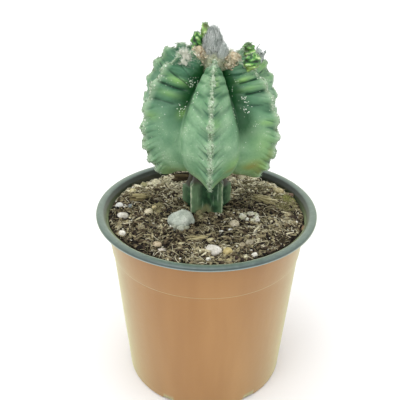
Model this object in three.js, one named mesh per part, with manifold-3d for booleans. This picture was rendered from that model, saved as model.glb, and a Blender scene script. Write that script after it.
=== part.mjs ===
// A bishop's cap cactus in a 12 cm nursery pot: a six-ribbed head grafted on a five-ribbed rootstock.
// Millimetres, +Z up. The origin is the centre of the pot's base, on the surface that it stands on.
// -Y is the front. A turn is an angle in degrees from the front towards +X.

import * as THREE from 'three';
import { mergeVertices } from 'three/addons/utils/BufferGeometryUtils.js';
import Module from 'manifold-3d';

const wasm = await Module();
wasm.setup();

const { lerp, smoothstep, mapLinear, degToRad } = THREE.MathUtils;

// ---- Driving dimensions -------------------------------------------------------------------------

// What touches keeps this gap. A cut piece is tidied of details finer than the second figure.
const SEAT_GAP = 0.3;
const FINEST_DETAIL = 0.03;

const POT_HEIGHT = 105.5;
const RIM_RADIUS = 60;
const LIP_WIDTH = 4.1;
const LIP_DROP = 1.9;
const RIDGE = { radius: 52.5, height: 82.4, step: 0.5 };
const BASE_RADIUS = 45.8;
const BASE_RISE = 2.6;
const FOOT_RING = { width: 5.5, round: 0.9, slope: 1 };
const FLOOR_BEVEL = 1;
const WALL = 1.1;
const WALL_TOP = { radius: 55.3, drop: 1.1, innerDrop: 2.3 };
const DRAIN = { count: 6, turn: 34, slotWidth: 7.5, slotDepth: 1.8, holeRadius: 4, holeRing: 29 };
const POT_SIDES = 48;

// The potting mix is a shallow dish, washed down in one place.
const SOIL = { level: 102, dish: 0.9, crumb: 0.3, sides: 40 };
const SOIL_DIP = { x: -30, y: 40, depth: 2.4, spread: 9 };

// The stock's ribs were cut back aslant for the graft, each from its own shoulder height.
const STOCK = {
  x: 0, y: 8, foot: 72, top: 128.7, crest: 14.2, valley: 7.6, union: 8.4,
  turns: [36, 108, 180, 252, 324], shoulders: [120.5, 114, 114, 112.5, 119],
};

// The head hangs down round the graft union, so its foot is lower than the union.
const HEAD = { x: 1.5, y: 8, foot: 124, unionRise: 5, crownHeight: 58.6, crownShift: 1.6 };

// How far each rib reaches out, how much higher its shoulder stands, how low its hem hangs and how far
// the hem arches up on its faces.
const RIBS = [
  { turn: 0, reach: 1.0, lift: 0.6, hem: -1.8, arch: 2.2 },
  { turn: 60, reach: 0.98, lift: -1.8, hem: -0.6, arch: 0.4 },
  { turn: 120, reach: 1.05, lift: 0.6, hem: 0, arch: 1.5 },
  { turn: 180, reach: 1.02, lift: 1.5, hem: 0.4, arch: 1.5 },
  { turn: 240, reach: 1.06, lift: 3.0, hem: 0.6, arch: 1.5 },
  { turn: 300, reach: 0.99, lift: 2.6, hem: 0.6, arch: 2.2 },
];
// A crest bulges in lobes, counted in rows of the skin, and carries a close row of felt cushions.
const CREST_LOBES = { rows: 44, rowsPerLobe: 5, rise: 0.95, cushion: 0.25, shoulder: 0.6 };
const FURROWS = { depth: 1.1, spacing: 7.4, slant: 5 };

// ---- Closed skins and solids --------------------------------------------------------------------

const vector = (x, y, z) => new THREE.Vector3(x, y, z);

function seededRandom(seed) {
  let state = seed;
  return () => {
    state = (state + 0x6d2b79f5) | 0;
    let mixed = Math.imul(state ^ (state >>> 15), 1 | state);
    mixed = (mixed + Math.imul(mixed ^ (mixed >>> 7), 61 | mixed)) ^ mixed;
    return ((mixed ^ (mixed >>> 14)) >>> 0) / 2 ** 32;
  };
}

// A point at a radius and a height on the side that a turn faces.
function polar(radius, turn, height) {
  return vector(radius * Math.sin(degToRad(turn)), -radius * Math.cos(degToRad(turn)), height);
}

// A ring of points round the vertical axis, anticlockwise from above.
function ringOf(sides, pointAt) {
  return Array.from({ length: sides }, (_, side) => pointAt((side * 360) / sides, side));
}

// A closed skin over rings of points that are stacked between two poles.
function skin(rings, lowerPole, upperPole) {
  const sides = rings[0].length;
  const points = [...rings.flat(), lowerPole, upperPole];
  const lower = points.length - 2;
  const upper = points.length - 1;
  const topRing = (rings.length - 1) * sides;
  const faces = [];
  for (let side = 0; side < sides; side++) {
    const next = (side + 1) % sides;
    faces.push(lower, next, side);
    for (let start = 0; start < topRing; start += sides) {
      const [a, b, c, d] = [start + side, start + next, start + sides + next, start + sides + side];
      faces.push(a, b, c, a, c, d);
    }
    faces.push(topRing + side, topRing + next, upper);
  }
  const geometry = new THREE.BufferGeometry().setFromPoints(points);
  geometry.setIndex(faces);
  return geometry;
}

function merged(geometry) {
  const bare = geometry.clone();
  bare.deleteAttribute('normal');
  bare.deleteAttribute('uv');
  return mergeVertices(bare, 1e-4);
}

function moveEachPoint(geometry, move) {
  const { position } = geometry.attributes;
  for (let i = 0; i < position.count; i++) {
    const { x, y, z } = move(vector().fromBufferAttribute(position, i), i);
    position.setXYZ(i, x, y, z);
  }
  return geometry;
}

function solidOf(geometry) {
  const { attributes, index } = merged(geometry);
  return new wasm.Manifold(new wasm.Mesh({
    numProp: 3,
    vertProperties: new Float32Array(attributes.position.array),
    triVerts: new Uint32Array(index.array),
  }));
}

const largestBody = (solid) => solid.decompose().sort((a, b) => b.volume() - a.volume())[0];

// The largest body of a solid, without the scraps that a cut leaves loose.
function geometryOf(solid) {
  const { vertProperties, triVerts } = largestBody(largestBody(solid).simplify(FINEST_DETAIL)).getMesh();
  const geometry = new THREE.BufferGeometry();
  geometry.setAttribute('position', new THREE.BufferAttribute(vertProperties, 3));
  geometry.setIndex(new THREE.BufferAttribute(triVerts, 1));
  return geometry;
}

// The same shape with its skin moved out by the gap that it keeps from what it cuts.
function swollen(geometry) {
  const shape = merged(geometry);
  shape.computeVertexNormals();
  const { normal } = shape.attributes;
  return moveEachPoint(shape, (point, i) => (
    point.addScaledVector(vector().fromBufferAttribute(normal, i), SEAT_GAP)
  ));
}

// A piece whose sunk root is cut back to just clear of the pieces that carry it.
function seated(geometry, carriers) {
  let solid = solidOf(geometry);
  for (const carrier of carriers) {
    solid = solid.subtract(solidOf(swollen(carrier))).subtract(solidOf(carrier));
  }
  return geometryOf(solid);
}

// ---- Materials ----------------------------------------------------------------------------------

const finish = (color, roughness) => new THREE.MeshStandardMaterial({ color, roughness, metalness: 0 });

const terracottaPlastic = finish('#b8895a', 0.45);
const pottingMix = finish('#7d6550', 0.95);
const stockSkin = finish('#33583f', 0.5);
const headSkin = finish('#639a76', 0.55);
const areoleWool = finish('#cfc6ac', 1.0);
const budWool = finish('#9aa09c', 0.95);
const driedPetal = finish('#b3906a', 0.9);
const offsetSkin = finish('#5d8f3c', 0.55);
const pumice = finish('#cfcdc4', 0.9);
const pebble = finish('#b49c78', 0.85);
const bark = finish('#6e4a33', 0.9);

function piece(name, geometry, material) {
  const mesh = new THREE.Mesh(geometry, material);
  mesh.name = name;
  return mesh;
}

// ---- Pot ----------------------------------------------------------------------------------------

const FLOOR_TOP = BASE_RISE + WALL;

// The inner face of the wall, as radius against height.
const INNER_WALL = [
  [BASE_RADIUS - WALL, FLOOR_TOP + FLOOR_BEVEL],
  [RIDGE.radius - RIDGE.step - WALL, RIDGE.height - RIDGE.step],
  [RIDGE.radius - WALL, RIDGE.height + RIDGE.step],
  [WALL_TOP.radius - WALL, POT_HEIGHT - WALL_TOP.innerDrop],
];

// A thermoformed shell: raised floor, foot ring, tapered wall with a stacking ridge, turned-down lip.
function potGeometry() {
  const hem = WALL - 0.2;
  const edge = 0.5;
  const lipFoot = POT_HEIGHT - LIP_DROP;
  const lipUnderside = POT_HEIGHT - WALL_TOP.drop;
  const footInner = BASE_RADIUS - FOOT_RING.round - FOOT_RING.width;
  const profile = [
    [0, BASE_RISE],
    [footInner - FOOT_RING.slope, BASE_RISE],
    [footInner, 0],
    [BASE_RADIUS - FOOT_RING.round, 0],
    [BASE_RADIUS, FOOT_RING.round],
    [RIDGE.radius - RIDGE.step, RIDGE.height - RIDGE.step],
    [RIDGE.radius, RIDGE.height],
    [WALL_TOP.radius, lipUnderside],
    [RIM_RADIUS - hem, lipUnderside],
    [RIM_RADIUS - hem, lipFoot],
    [RIM_RADIUS, lipFoot],
    [RIM_RADIUS, POT_HEIGHT - edge],
    [RIM_RADIUS - edge, POT_HEIGHT],
    [RIM_RADIUS - LIP_WIDTH + edge, POT_HEIGHT],
    [RIM_RADIUS - LIP_WIDTH, POT_HEIGHT - edge],
    ...[...INNER_WALL].reverse(),
    [BASE_RADIUS - WALL - FLOOR_BEVEL, FLOOR_TOP],
    [0, FLOOR_TOP],
  ];
  const points = profile.map(([radius, height]) => new THREE.Vector2(radius, height));
  return drained(new THREE.LatheGeometry(points, POT_SIDES).rotateX(Math.PI / 2));
}

// Water leaves by holes in the raised floor and by shallow slots across the foot ring.
function drained(shell) {
  const { count, slotWidth, slotDepth, holeRadius, holeRing } = DRAIN;
  const slotLength = 2 * (FOOT_RING.width + FOOT_RING.round);
  let pot = solidOf(shell);
  for (let k = 0; k < count; k++) {
    const turn = DRAIN.turn + (k * 360) / count;
    const slot = new THREE.BoxGeometry(slotWidth, slotLength, 2 * slotDepth).rotateZ(degToRad(turn));
    slot.translate(...polar(BASE_RADIUS - slotLength / 4, turn, 0).toArray());
    const hole = new THREE.CylinderGeometry(holeRadius, holeRadius, 6 * WALL, 14).rotateX(Math.PI / 2);
    hole.translate(...polar(holeRing, turn, FLOOR_TOP).toArray());
    pot = pot.subtract(solidOf(slot)).subtract(solidOf(hole));
  }
  return geometryOf(pot);
}

// ---- Rootstock ----------------------------------------------------------------------------------

// The stock narrows below the soil: height and share of the full radius.
const STOCK_LEVELS = [
  [STOCK.foot, 0.5],
  [STOCK.foot + 6, 0.82],
  [STOCK.foot + 18, 0.95],
  ...[SOIL.level, 112.5, 115, 118, 120.5, 124, STOCK.top].map((height) => [height, 1]),
];

function stockGeometry() {
  const ribs = STOCK.turns.length;
  const columnsPerRib = 6;
  const rings = STOCK_LEVELS.map(([height, share]) => (
    ringOf(ribs * columnsPerRib, (turn, side) => {
      const rib = Math.round(side / columnsPerRib) % ribs;
      const crestness = Math.abs(((turn * ribs) / 360 % 1) - 0.5) * 2;
      const cut = Math.max(0, mapLinear(height, STOCK.shoulders[rib], STOCK.top, 0, 1)) ** 0.4;
      const radius = lerp(STOCK.valley, lerp(STOCK.crest, STOCK.union, cut), crestness ** 1.3);
      return polar(radius * share, turn + STOCK.turns[0], height);
    })
  ));
  const stock = skin(rings, vector(0, 0, STOCK.foot), vector(0, 0, STOCK.top));
  return stock.translate(STOCK.x, STOCK.y, 0);
}

// ---- Head ---------------------------------------------------------------------------------------

// Each line runs from the graft union, round the hem and up the side to the crown, as radius against
// height above the head's foot. Points with the same place in the two lists lie in one row of the skin,
// and a step counts along both: 3 is at the hem, 12 at the shoulder.
const line = (points) => new THREE.SplineCurve(points.map(([r, h]) => new THREE.Vector2(r, h)));
const CREST_LINE = line([
  [8, 5], [15.5, 4.4], [24.5, 2.2], [30.4, 4], [35.2, 10.8], [38.5, 19.4], [39.6, 28.5],
  [38.5, 38], [34.8, 48], [29.4, 55.8], [22.5, 60.8], [15, 62.6], [8, 61.4], [3, 59.6],
]);
const VALLEY_LINE = line([
  [8, 5], [13, 5.6], [18.6, 7], [24, 10.4], [27.8, 15.8], [29.6, 22.6], [28.8, 30.4],
  [25.4, 37.6], [20.2, 43.6], [15.2, 48.4], [10.8, 52.2], [8, 55.2], [5.4, 57.4], [2.4, 58.6],
]);
const LINE_END = 13;
const UNDERSIDE_STEPS = [0, 1, 2, 2.6];
const HEM_STEP = 3;
const SHOULDER_STEP = 12;
const STEP_LENGTH = 9;

// Places across one rib, from the valley before it to the valley after it, with the crest at 0.
const RIB_PLACES = [-1, -0.68, -0.34, -0.1, 0, 0.1, 0.34, 0.68];
const CREST_REACH = 0.12;
const FACE_PUFF = 0.4;

// A rib's share of crest against valley: full at the crest, none at the valley, with puffed faces.
function crestShare(place) {
  const across = Math.abs(place);
  return 1 - across - (FACE_PUFF * Math.sin(2 * Math.PI * across)) / (2 * Math.PI);
}

// A rib's own trait at its crest, blended with its neighbour's at the valley.
function ribTrait(rib, place, trait) {
  const neighbour = (rib + Math.sign(place) + RIBS.length) % RIBS.length;
  return lerp(RIBS[rib][trait], RIBS[neighbour][trait], Math.abs(place) / 2);
}

// Dents that run across the upper faces of a rib and slant down to its crest.
function furrow(step, place) {
  const across = Math.abs(place);
  const along = step * STEP_LENGTH - FURROWS.slant * across;
  const groove = Math.abs(Math.cos((Math.PI * along) / FURROWS.spacing)) ** 4;
  const onFace = Math.sin(Math.PI * Math.min(1, across * 1.15));
  const high = smoothstep(step, 5.5, 8) * (1 - smoothstep(step, 10, 11.5));
  return FURROWS.depth * groove * onFace * high;
}

// The head's skin at a step along its lines and a place across a rib, before the lobes of the crest.
function headPoint(step, rib, place) {
  const profile = VALLEY_LINE.getPoint(step / LINE_END);
  profile.lerp(CREST_LINE.getPoint(step / LINE_END), crestShare(place));
  const side = smoothstep(step, 1, 5) * (1 - smoothstep(step, 10, 13));
  const hem = smoothstep(step, 0.5, 3) * (1 - smoothstep(step, 3, 7));
  const shoulder = (profile.y / HEAD.crownHeight) ** 2;
  const reach = lerp(1, ribTrait(rib, place, 'reach'), side);
  const arch = ribTrait(rib, place, 'arch') * Math.sin(Math.PI * Math.abs(place));
  const raise = ribTrait(rib, place, 'lift') * shoulder + (ribTrait(rib, place, 'hem') + arch) * hem;
  const turn = RIBS[rib].turn + (place * 180) / RIBS.length;
  const point = polar(profile.x * reach - furrow(step, place), turn, profile.y + raise);
  point.x += HEAD.crownShift * smoothstep(step, 7, 12);
  return point;
}

// The way out of a rib's crest at a step along it.
function outOfCrest(step, rib) {
  const along = CREST_LINE.getTangent(step / LINE_END);
  return polar(along.y, RIBS[rib].turn, -along.x).normalize();
}

// How far the lobes and the cushions move the skin out, most of it at the crest itself.
function crestRelief(row, rib, place) {
  const across = Math.abs(place);
  if (row < 0 || across > CREST_REACH) return 0;
  const { rowsPerLobe, rise, cushion, shoulder } = CREST_LOBES;
  const lobe = rise * Math.cos(2 * Math.PI * (row / rowsPerLobe + rib / RIBS.length));
  return (across > 0 ? shoulder : 1) * (lobe + (row % 2 === 0 ? cushion : -cushion));
}

function headGeometry() {
  const { rows } = CREST_LOBES;
  const sideSteps = Array.from({ length: rows + 1 }, (_, row) => (
    mapLinear(row, 0, rows, HEM_STEP, SHOULDER_STEP)
  ));
  const rings = [...UNDERSIDE_STEPS, ...sideSteps].map((step, order) => (
    RIBS.flatMap((_, rib) => RIB_PLACES.map((place) => (
      headPoint(step, rib, place).addScaledVector(
        outOfCrest(step, rib),
        crestRelief(order - UNDERSIDE_STEPS.length, rib, place),
      )
    )))
  ));
  rings.push(RIBS.flatMap((_, rib) => RIB_PLACES.map((place) => headPoint(LINE_END, rib, place))));
  const lower = vector(0, 0, HEAD.unionRise);
  return skin(rings, lower, vector(HEAD.crownShift, 0, HEAD.crownHeight));
}

// ---- Soil ---------------------------------------------------------------------------------------

function soilHeight(x, y) {
  const dish = (SOIL.dish * (x * x + y * y)) / WALL_TOP.radius ** 2;
  const away = (x - SOIL_DIP.x) ** 2 + (y - SOIL_DIP.y) ** 2;
  const dip = SOIL_DIP.depth * Math.exp(-away / (2 * SOIL_DIP.spread ** 2));
  const crumb = Math.sin(0.53 * x + 1.1 * Math.sin(0.41 * y)) + Math.cos(0.61 * y - 0.37 * x);
  return SOIL.level + dish - dip + SOIL.crumb * crumb;
}

function innerRadius(height) {
  const above = Math.max(1, INNER_WALL.findIndex(([, top]) => height <= top));
  const [[lowRadius, low], [highRadius, high]] = INNER_WALL.slice(above - 1, above + 1);
  return mapLinear(height, low, high, lowRadius, highRadius);
}

// The potting mix fills the shell to just under its lip. The wall narrows downwards, so the edge is
// measured a little below the surface.
function soilGeometry() {
  const clearance = SEAT_GAP + 0.15;
  const belowSurface = 1;
  const [footRadius, footHeight] = INNER_WALL[0];
  const floor = FLOOR_TOP + clearance;
  const edgeRadius = innerRadius(SOIL.level - belowSurface) - clearance;
  const rings = [
    ringOf(SOIL.sides, (turn) => polar(footRadius - 2 * FLOOR_BEVEL, turn, floor)),
    ringOf(SOIL.sides, (turn) => polar(footRadius - clearance, turn, footHeight + clearance)),
    ...INNER_WALL.slice(1, 3).map(([radius, height]) => (
      ringOf(SOIL.sides, (turn) => polar(radius - clearance, turn, height))
    )),
    ...[1, 0.93, 0.83, 0.71, 0.58, 0.45, 0.31].map((share) => (
      ringOf(SOIL.sides, (turn) => {
        const point = polar(edgeRadius * share, turn, 0);
        return point.setZ(soilHeight(point.x, point.y));
      })
    )),
  ];
  return skin(rings, vector(0, 0, floor), vector(0, 0, soilHeight(0, 0)));
}

// ---- Stones and bark on the soil ----------------------------------------------------------------

function onSoil(geometry, { x, y, size, turn, sunk }) {
  const height = size[2];
  return geometry.rotateZ(degToRad(turn)).translate(x, y, soilHeight(x, y) + (0.5 - sunk) * height);
}

// A rounded stone, with its length turned from +X and its foot sunk in the soil.
function stoneGeometry(stone) {
  const random = seededRandom(stone.seed);
  const ball = merged(new THREE.IcosahedronGeometry(0.5, 1));
  moveEachPoint(ball, (point) => point.multiplyScalar(1 + stone.rough * (2 * random() - 1)));
  return onSoil(ball.scale(...stone.size), stone);
}

// A split of bark: a flat bar with ragged, narrowing ends, tipped a little along its length.
const BARK = { narrowing: 0.45, ragged: [0.06, 0.12, 0.14] };

function barkGeometry(chip) {
  const random = seededRandom(chip.seed);
  const [length] = chip.size;
  const bar = merged(new THREE.BoxGeometry(...chip.size, 4, 2, 1));
  moveEachPoint(bar, ({ x, y, z }) => {
    const narrow = 1 - BARK.narrowing * ((2 * x) / length) ** 2;
    const [shiftX, shiftY, shiftZ] = chip.size.map((size, axis) => (
      size * BARK.ragged[axis] * (2 * random() - 1)
    ));
    return vector(x + shiftX, y * narrow + shiftY, z * narrow + shiftZ);
  });
  return onSoil(bar.rotateY(-degToRad(chip.tip)), chip);
}

const stone = (name, x, y, size, turn, seed, more = {}) => (
  { name, x, y, size, turn, seed, rough: 0.12, sunk: 0.35, stuff: pumice, ...more }
);
const STONES = [
  stone('pumice_large', -13.2, -13.2, [13.4, 11.4, 10.2], 20, 3, { sunk: 0.3 }),
  stone('pumice_front', 3.8, -41.2, [8.4, 6.6, 5.4], -25, 5),
  stone('pumice_left', -45.0, -8.8, [6.0, 4.6, 3.8], -15, 6),
  stone('pumice_far_left', -48.2, 2.4, [5.0, 3.8, 3.0], 10, 7),
  stone('pumice_near_left', -43.0, -26.6, [4.0, 3.6, 3.2], 30, 8),
  stone('perlite_a', 20.0, -7.2, [4.2, 3.4, 3.2], 10, 11),
  stone('perlite_b', 24.4, -4.6, [4.2, 3.6, 3.2], -20, 12),
  stone('perlite_c', 26.8, -9.8, [3.6, 4.4, 3.0], 35, 13),
  stone('perlite_front', 23.6, -44.6, [3.4, 3.0, 2.8], 15, 14),
  stone('pebble_round', 10.8, -42.4, [4.8, 4.8, 4.6], 0, 21, { rough: 0.06, stuff: pebble }),
  stone('pebble_tan', 15.0, -14.9, [5.8, 5.0, 4.2], -30, 22, { stuff: pebble }),
  stone('pebble_wedge', 41.6, 22.8, [6.4, 4.6, 3.8], -25, 23, { rough: 0.2, stuff: pebble }),
  stone('pebble_cream', -31.6, -3.2, [5.2, 4.0, 3.6], 25, 24, { stuff: pebble }),
  stone('pebble_beige', 22.2, -32.0, [4.4, 3.6, 3.2], 20, 25, { stuff: pebble }),
  stone('pebble_ochre', -43.0, 21.4, [4.2, 3.4, 2.8], 5, 26, { stuff: pebble }),
  stone('pebble_lime', -37.4, 29.6, [4.4, 3.8, 3.4], 40, 28, { rough: 0.2, stuff: pebble }),
  stone('pebble_orange', -24.2, -36.2, [4.6, 4.0, 3.2], -20, 27, { stuff: pebble }),
];

const chip = (name, x, y, size, turn, tip, seed) => (
  { name, x, y, size, turn, tip, seed, sunk: 0.3, stuff: bark }
);
const BARK_CHIPS = [
  chip('bark_right', 33.0, 11.6, [19.0, 6.2, 4.2], -38, 4, 31),
  chip('bark_left', -38.2, 11.6, [12.8, 6.4, 4.8], 14, -3, 32),
  chip('bark_front', -4.8, -29.6, [11.8, 4.0, 2.6], 6, 0, 33),
  chip('bark_rim', 38.6, -31.6, [6.0, 3.4, 3.0], 55, 0, 34),
  chip('bark_back', -13.8, 37.4, [17.0, 6.0, 8.4], 4, 2, 35),
];

// ---- What grows on the crown --------------------------------------------------------------------

// A skin round a straight axis from a foot to a tip, with evenly spaced radii. Relief shapes a ring.
function growth({ foot, tip, radii, sides, relief }) {
  const axisPoint = (share) => vector(...foot).lerp(vector(...tip), share);
  const rings = radii.map((radius, level) => {
    const centre = axisPoint(level / (radii.length - 1));
    return ringOf(sides, (turn) => polar(radius * relief(turn / 360, level), turn, 0).add(centre));
  });
  const cap = 0.4;
  const lower = axisPoint(0).add(vector(0, 0, -cap * radii[0]));
  const upper = axisPoint(1).add(vector(0, 0, cap * radii.at(-1)));
  return skin(rings, lower, upper);
}

// Overlapping scales, two levels to a row, each row half a scale round from the one below.
const scales = (count, depth) => (around, level) => {
  const stagger = (Math.floor(level / 2) % 2) / 2;
  const lap = level % 2 === 0 ? 1 : 0.3;
  return 1 + depth * lap * Math.cos(2 * Math.PI * (count * around + stagger));
};

// Knobs in rows, each row half a knob round from the one below.
const knobbed = (count, depth) => (around, level) => (
  1 - depth + depth * Math.abs(Math.cos(Math.PI * (count * around + level / 2))) ** 0.7
);

// Petals or wool that shrank into folds.
const crumpled = (seed, depth) => {
  const random = seededRandom(seed);
  const folds = Array.from({ length: 5 }, () => ({ count: 2 + Math.floor(random() * 4), start: random() }));
  return (around, level) => folds.reduce((size, { count, start }, order) => (
    size + (depth / 3) * Math.sin(2 * Math.PI * (count * around + start) + level * (order + 1.3))
  ), 1);
};

// The woolly cushion in the middle of the crown, with a lobe up to the shoulder of each rib.
const WOOL = { valleyRadius: 7.5, ribRadius: 11.8, foot: 54, top: 62.6, tuft: 0.35 };

function crownWoolGeometry() {
  const levels = [
    { share: 0.6, height: 54.5, lobe: 0 },
    { share: 1.0, height: 57.0, lobe: 0.5 },
    { share: 1.0, height: 60.2, lobe: 1.8 },
    { share: 0.8, height: 61.8, lobe: 1.4 },
    { share: 0.45, height: 62.4, lobe: 0.4 },
  ];
  const rings = levels.map(({ share, height, lobe }, level) => (
    ringOf(RIBS.length * 5, (turn, side) => {
      const onRib = (1 + Math.cos(degToRad(RIBS.length * turn))) / 2;
      const radius = share * lerp(WOOL.valleyRadius, WOOL.ribRadius, onRib);
      const tuft = WOOL.tuft * Math.sin(2.1 * side + 1.7 * level);
      return polar(radius, turn, height + lobe * onRib + tuft);
    })
  ));
  const cushion = skin(rings, vector(0, 0, WOOL.foot), vector(0, 0, WOOL.top));
  return cushion.translate(HEAD.crownShift / 2, 0, 0);
}

// Feet and tips are measured from the head's foot. Each growth's foot is sunk in what carries it.
const GROWTHS = [
  {
    name: 'flower_bud_large', stuff: budWool, sides: 16, relief: scales(8, 0.07),
    foot: [0.6, 0.4, 57.5], tip: [0.9, 0, 76.2],
    radii: [3.2, 4.0, 4.5, 4.85, 4.95, 4.9, 4.6, 4.1, 3.3, 2.3, 1.1],
  },
  {
    name: 'flower_bud_small', stuff: budWool, sides: 12, relief: scales(6, 0.04),
    foot: [4.4, -2.6, 56], tip: [5.9, -4.4, 69.3],
    radii: [1.9, 2.5, 2.8, 2.85, 2.6, 2.0, 0.9],
  },
  {
    name: 'offset_left_dark', stuff: offsetSkin, sides: 20, relief: knobbed(5, 0.24),
    foot: [-6.2, 2.2, 56.5], tip: [-7.2, 1.2, 73.2],
    radii: [1.8, 1.9, 2.0, 2.6, 3.05, 3.1, 2.7, 1.6],
  },
  {
    name: 'offset_left_pale', stuff: offsetSkin, sides: 16, relief: knobbed(4, 0.22),
    foot: [-1.4, 5.6, 55], tip: [-3.4, 3.6, 77.2],
    radii: [1.8, 1.8, 1.8, 1.9, 2.4, 2.8, 2.6, 1.5],
  },
  {
    name: 'offset_right_front', stuff: offsetSkin, sides: 24, relief: knobbed(6, 0.26),
    foot: [18.8, -10.2, 57.5], tip: [20.0, -9.2, 65.6],
    radii: [1.6, 3.2, 4.3, 4.5, 3.9, 2.0],
  },
  {
    name: 'offset_right_back', stuff: offsetSkin, sides: 24, relief: knobbed(6, 0.26),
    foot: [18.2, 10.0, 57.5], tip: [18.8, 9.6, 66.2],
    radii: [1.6, 3.0, 3.9, 4.1, 3.5, 1.7],
  },
  {
    name: 'withered_flower_left', stuff: driedPetal, sides: 14, relief: crumpled(41, 0.3),
    foot: [-4.8, -3.2, 55], tip: [-6.2, -3.8, 67.6],
    radii: [2.4, 3.3, 3.8, 3.9, 3.6, 3.1, 1.6],
  },
  {
    name: 'withered_flower_right', stuff: driedPetal, sides: 15, relief: crumpled(43, 0.3),
    foot: [8.6, -3.2, 54], tip: [10.6, -4.4, 64.8],
    radii: [2.6, 3.6, 4.4, 4.7, 4.3, 2.6],
  },
  {
    name: 'withered_flower_back', stuff: driedPetal, sides: 12, relief: crumpled(47, 0.3),
    foot: [24.0, 12.8, 54], tip: [24.4, 12.2, 62.6],
    radii: [1.8, 2.4, 2.8, 2.6, 1.4],
  },
  {
    name: 'wool_tuft_left', stuff: areoleWool, sides: 12, relief: crumpled(53, 0.16),
    foot: [-13.2, -7.8, 58.5], tip: [-13.5, -8.1, 66.0],
    radii: [2.2, 2.8, 3.0, 2.5, 1.3],
  },
];

// ---- The whole plant ----------------------------------------------------------------------------

const cactus = new THREE.Group();
cactus.add(piece('pot', potGeometry(), terracottaPlastic));

const stock = stockGeometry();
cactus.add(piece('rootstock', stock, stockSkin));

const toppings = [
  ...STONES.map((each) => ({ ...each, geometry: stoneGeometry(each) })),
  ...BARK_CHIPS.map((each) => ({ ...each, geometry: barkGeometry(each) })),
];
const hollows = [stock, ...toppings.map(({ geometry }) => geometry)];
cactus.add(piece('soil', seated(soilGeometry(), hollows), pottingMix));
for (const { name, geometry, stuff } of toppings) cactus.add(piece(name, geometry, stuff));

// Each piece on the crown is cut clear of the head, of the wool and of the pieces before it in the list.
const grownHead = new THREE.Group();
grownHead.position.set(HEAD.x, HEAD.y, HEAD.foot);
const head = headGeometry();
grownHead.add(piece('cactus_head', head, headSkin));
const carriers = [head];
const onCrown = [
  { name: 'crown_wool', stuff: areoleWool, geometry: crownWoolGeometry() },
  ...GROWTHS.map((each) => ({ ...each, geometry: growth(each) })),
];
for (const { name, geometry, stuff } of onCrown) {
  grownHead.add(piece(name, seated(geometry, carriers), stuff));
  carriers.push(geometry);
}
cactus.add(grownHead);

export default cactus;
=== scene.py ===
# %% [markdown]
# # A grafted bishop's cap cactus in its nursery pot
# The real thing is a six-ribbed head grafted on a slim five-ribbed cactus, in a 12 cm plastic pot.
# A finished frame of plain solids gives every place and size, so it is loaded first and its box is
# kept. Each solid is then stood for by a finer piece of the same form, made here by mesh code.

# %% Load the frame
import math

import bmesh
import bpy
import numpy as np
from mathutils import Matrix, Vector


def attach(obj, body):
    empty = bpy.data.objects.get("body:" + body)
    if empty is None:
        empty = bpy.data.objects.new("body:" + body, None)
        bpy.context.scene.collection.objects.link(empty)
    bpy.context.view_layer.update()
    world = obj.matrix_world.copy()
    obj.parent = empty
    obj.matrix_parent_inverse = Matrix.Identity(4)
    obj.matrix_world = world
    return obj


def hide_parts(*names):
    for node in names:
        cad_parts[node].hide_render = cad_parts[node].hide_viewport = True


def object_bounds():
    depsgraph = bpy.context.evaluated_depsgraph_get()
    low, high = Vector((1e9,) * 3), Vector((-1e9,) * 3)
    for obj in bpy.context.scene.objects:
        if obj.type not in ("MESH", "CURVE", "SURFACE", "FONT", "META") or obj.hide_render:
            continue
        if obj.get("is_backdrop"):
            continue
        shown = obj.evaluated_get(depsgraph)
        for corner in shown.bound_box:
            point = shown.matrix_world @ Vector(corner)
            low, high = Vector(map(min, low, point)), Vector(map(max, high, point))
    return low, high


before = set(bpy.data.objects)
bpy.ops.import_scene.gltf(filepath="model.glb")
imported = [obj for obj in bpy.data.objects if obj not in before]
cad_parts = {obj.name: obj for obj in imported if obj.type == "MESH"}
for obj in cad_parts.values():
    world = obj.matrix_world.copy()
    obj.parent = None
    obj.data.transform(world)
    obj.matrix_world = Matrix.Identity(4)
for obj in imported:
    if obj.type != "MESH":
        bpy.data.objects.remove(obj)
frame_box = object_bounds()
print("frame box, m:", [tuple(round(v, 4) for v in corner) for corner in frame_box])

# %% [markdown]
# ## Camera
# The photograph looks down on the plant from a little over a forearm away, so near things look
# larger. A 54 mm lens on a 36 mm sensor gives that perspective, and the pitch, yaw and roll are those
# at which the rims and the foot of the pot fall where the photograph has them.

# %% Aim the camera
MM = 0.001
LENS_MM = 54.0
CAMERA_PLACE = Vector((0.0, -287.8, 266.0)) * MM
CAMERA_PITCH, CAMERA_YAW, CAMERA_ROLL = 0.4996, -0.0123, 0.0085

ahead = Vector((
    math.sin(CAMERA_YAW) * math.cos(CAMERA_PITCH),
    math.cos(CAMERA_YAW) * math.cos(CAMERA_PITCH),
    -math.sin(CAMERA_PITCH),
))
level = Vector((math.cos(CAMERA_YAW), -math.sin(CAMERA_YAW), 0.0))
upward = level.cross(ahead)
rightward = level * math.cos(CAMERA_ROLL) + upward * math.sin(CAMERA_ROLL)
upward = rightward.cross(ahead)

camera = bpy.data.objects.new("photo_camera", bpy.data.cameras.new("photo_camera"))
camera.data.lens = LENS_MM
camera.data.clip_start = 0.02
camera_axes = Matrix((rightward, upward, -ahead)).transposed()
camera.matrix_world = Matrix.Translation(CAMERA_PLACE) @ camera_axes.to_4x4()
bpy.context.scene.collection.objects.link(camera)
bpy.context.scene.camera = camera
print("camera looks down by", round(math.degrees(CAMERA_PITCH), 1), "degrees")
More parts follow.
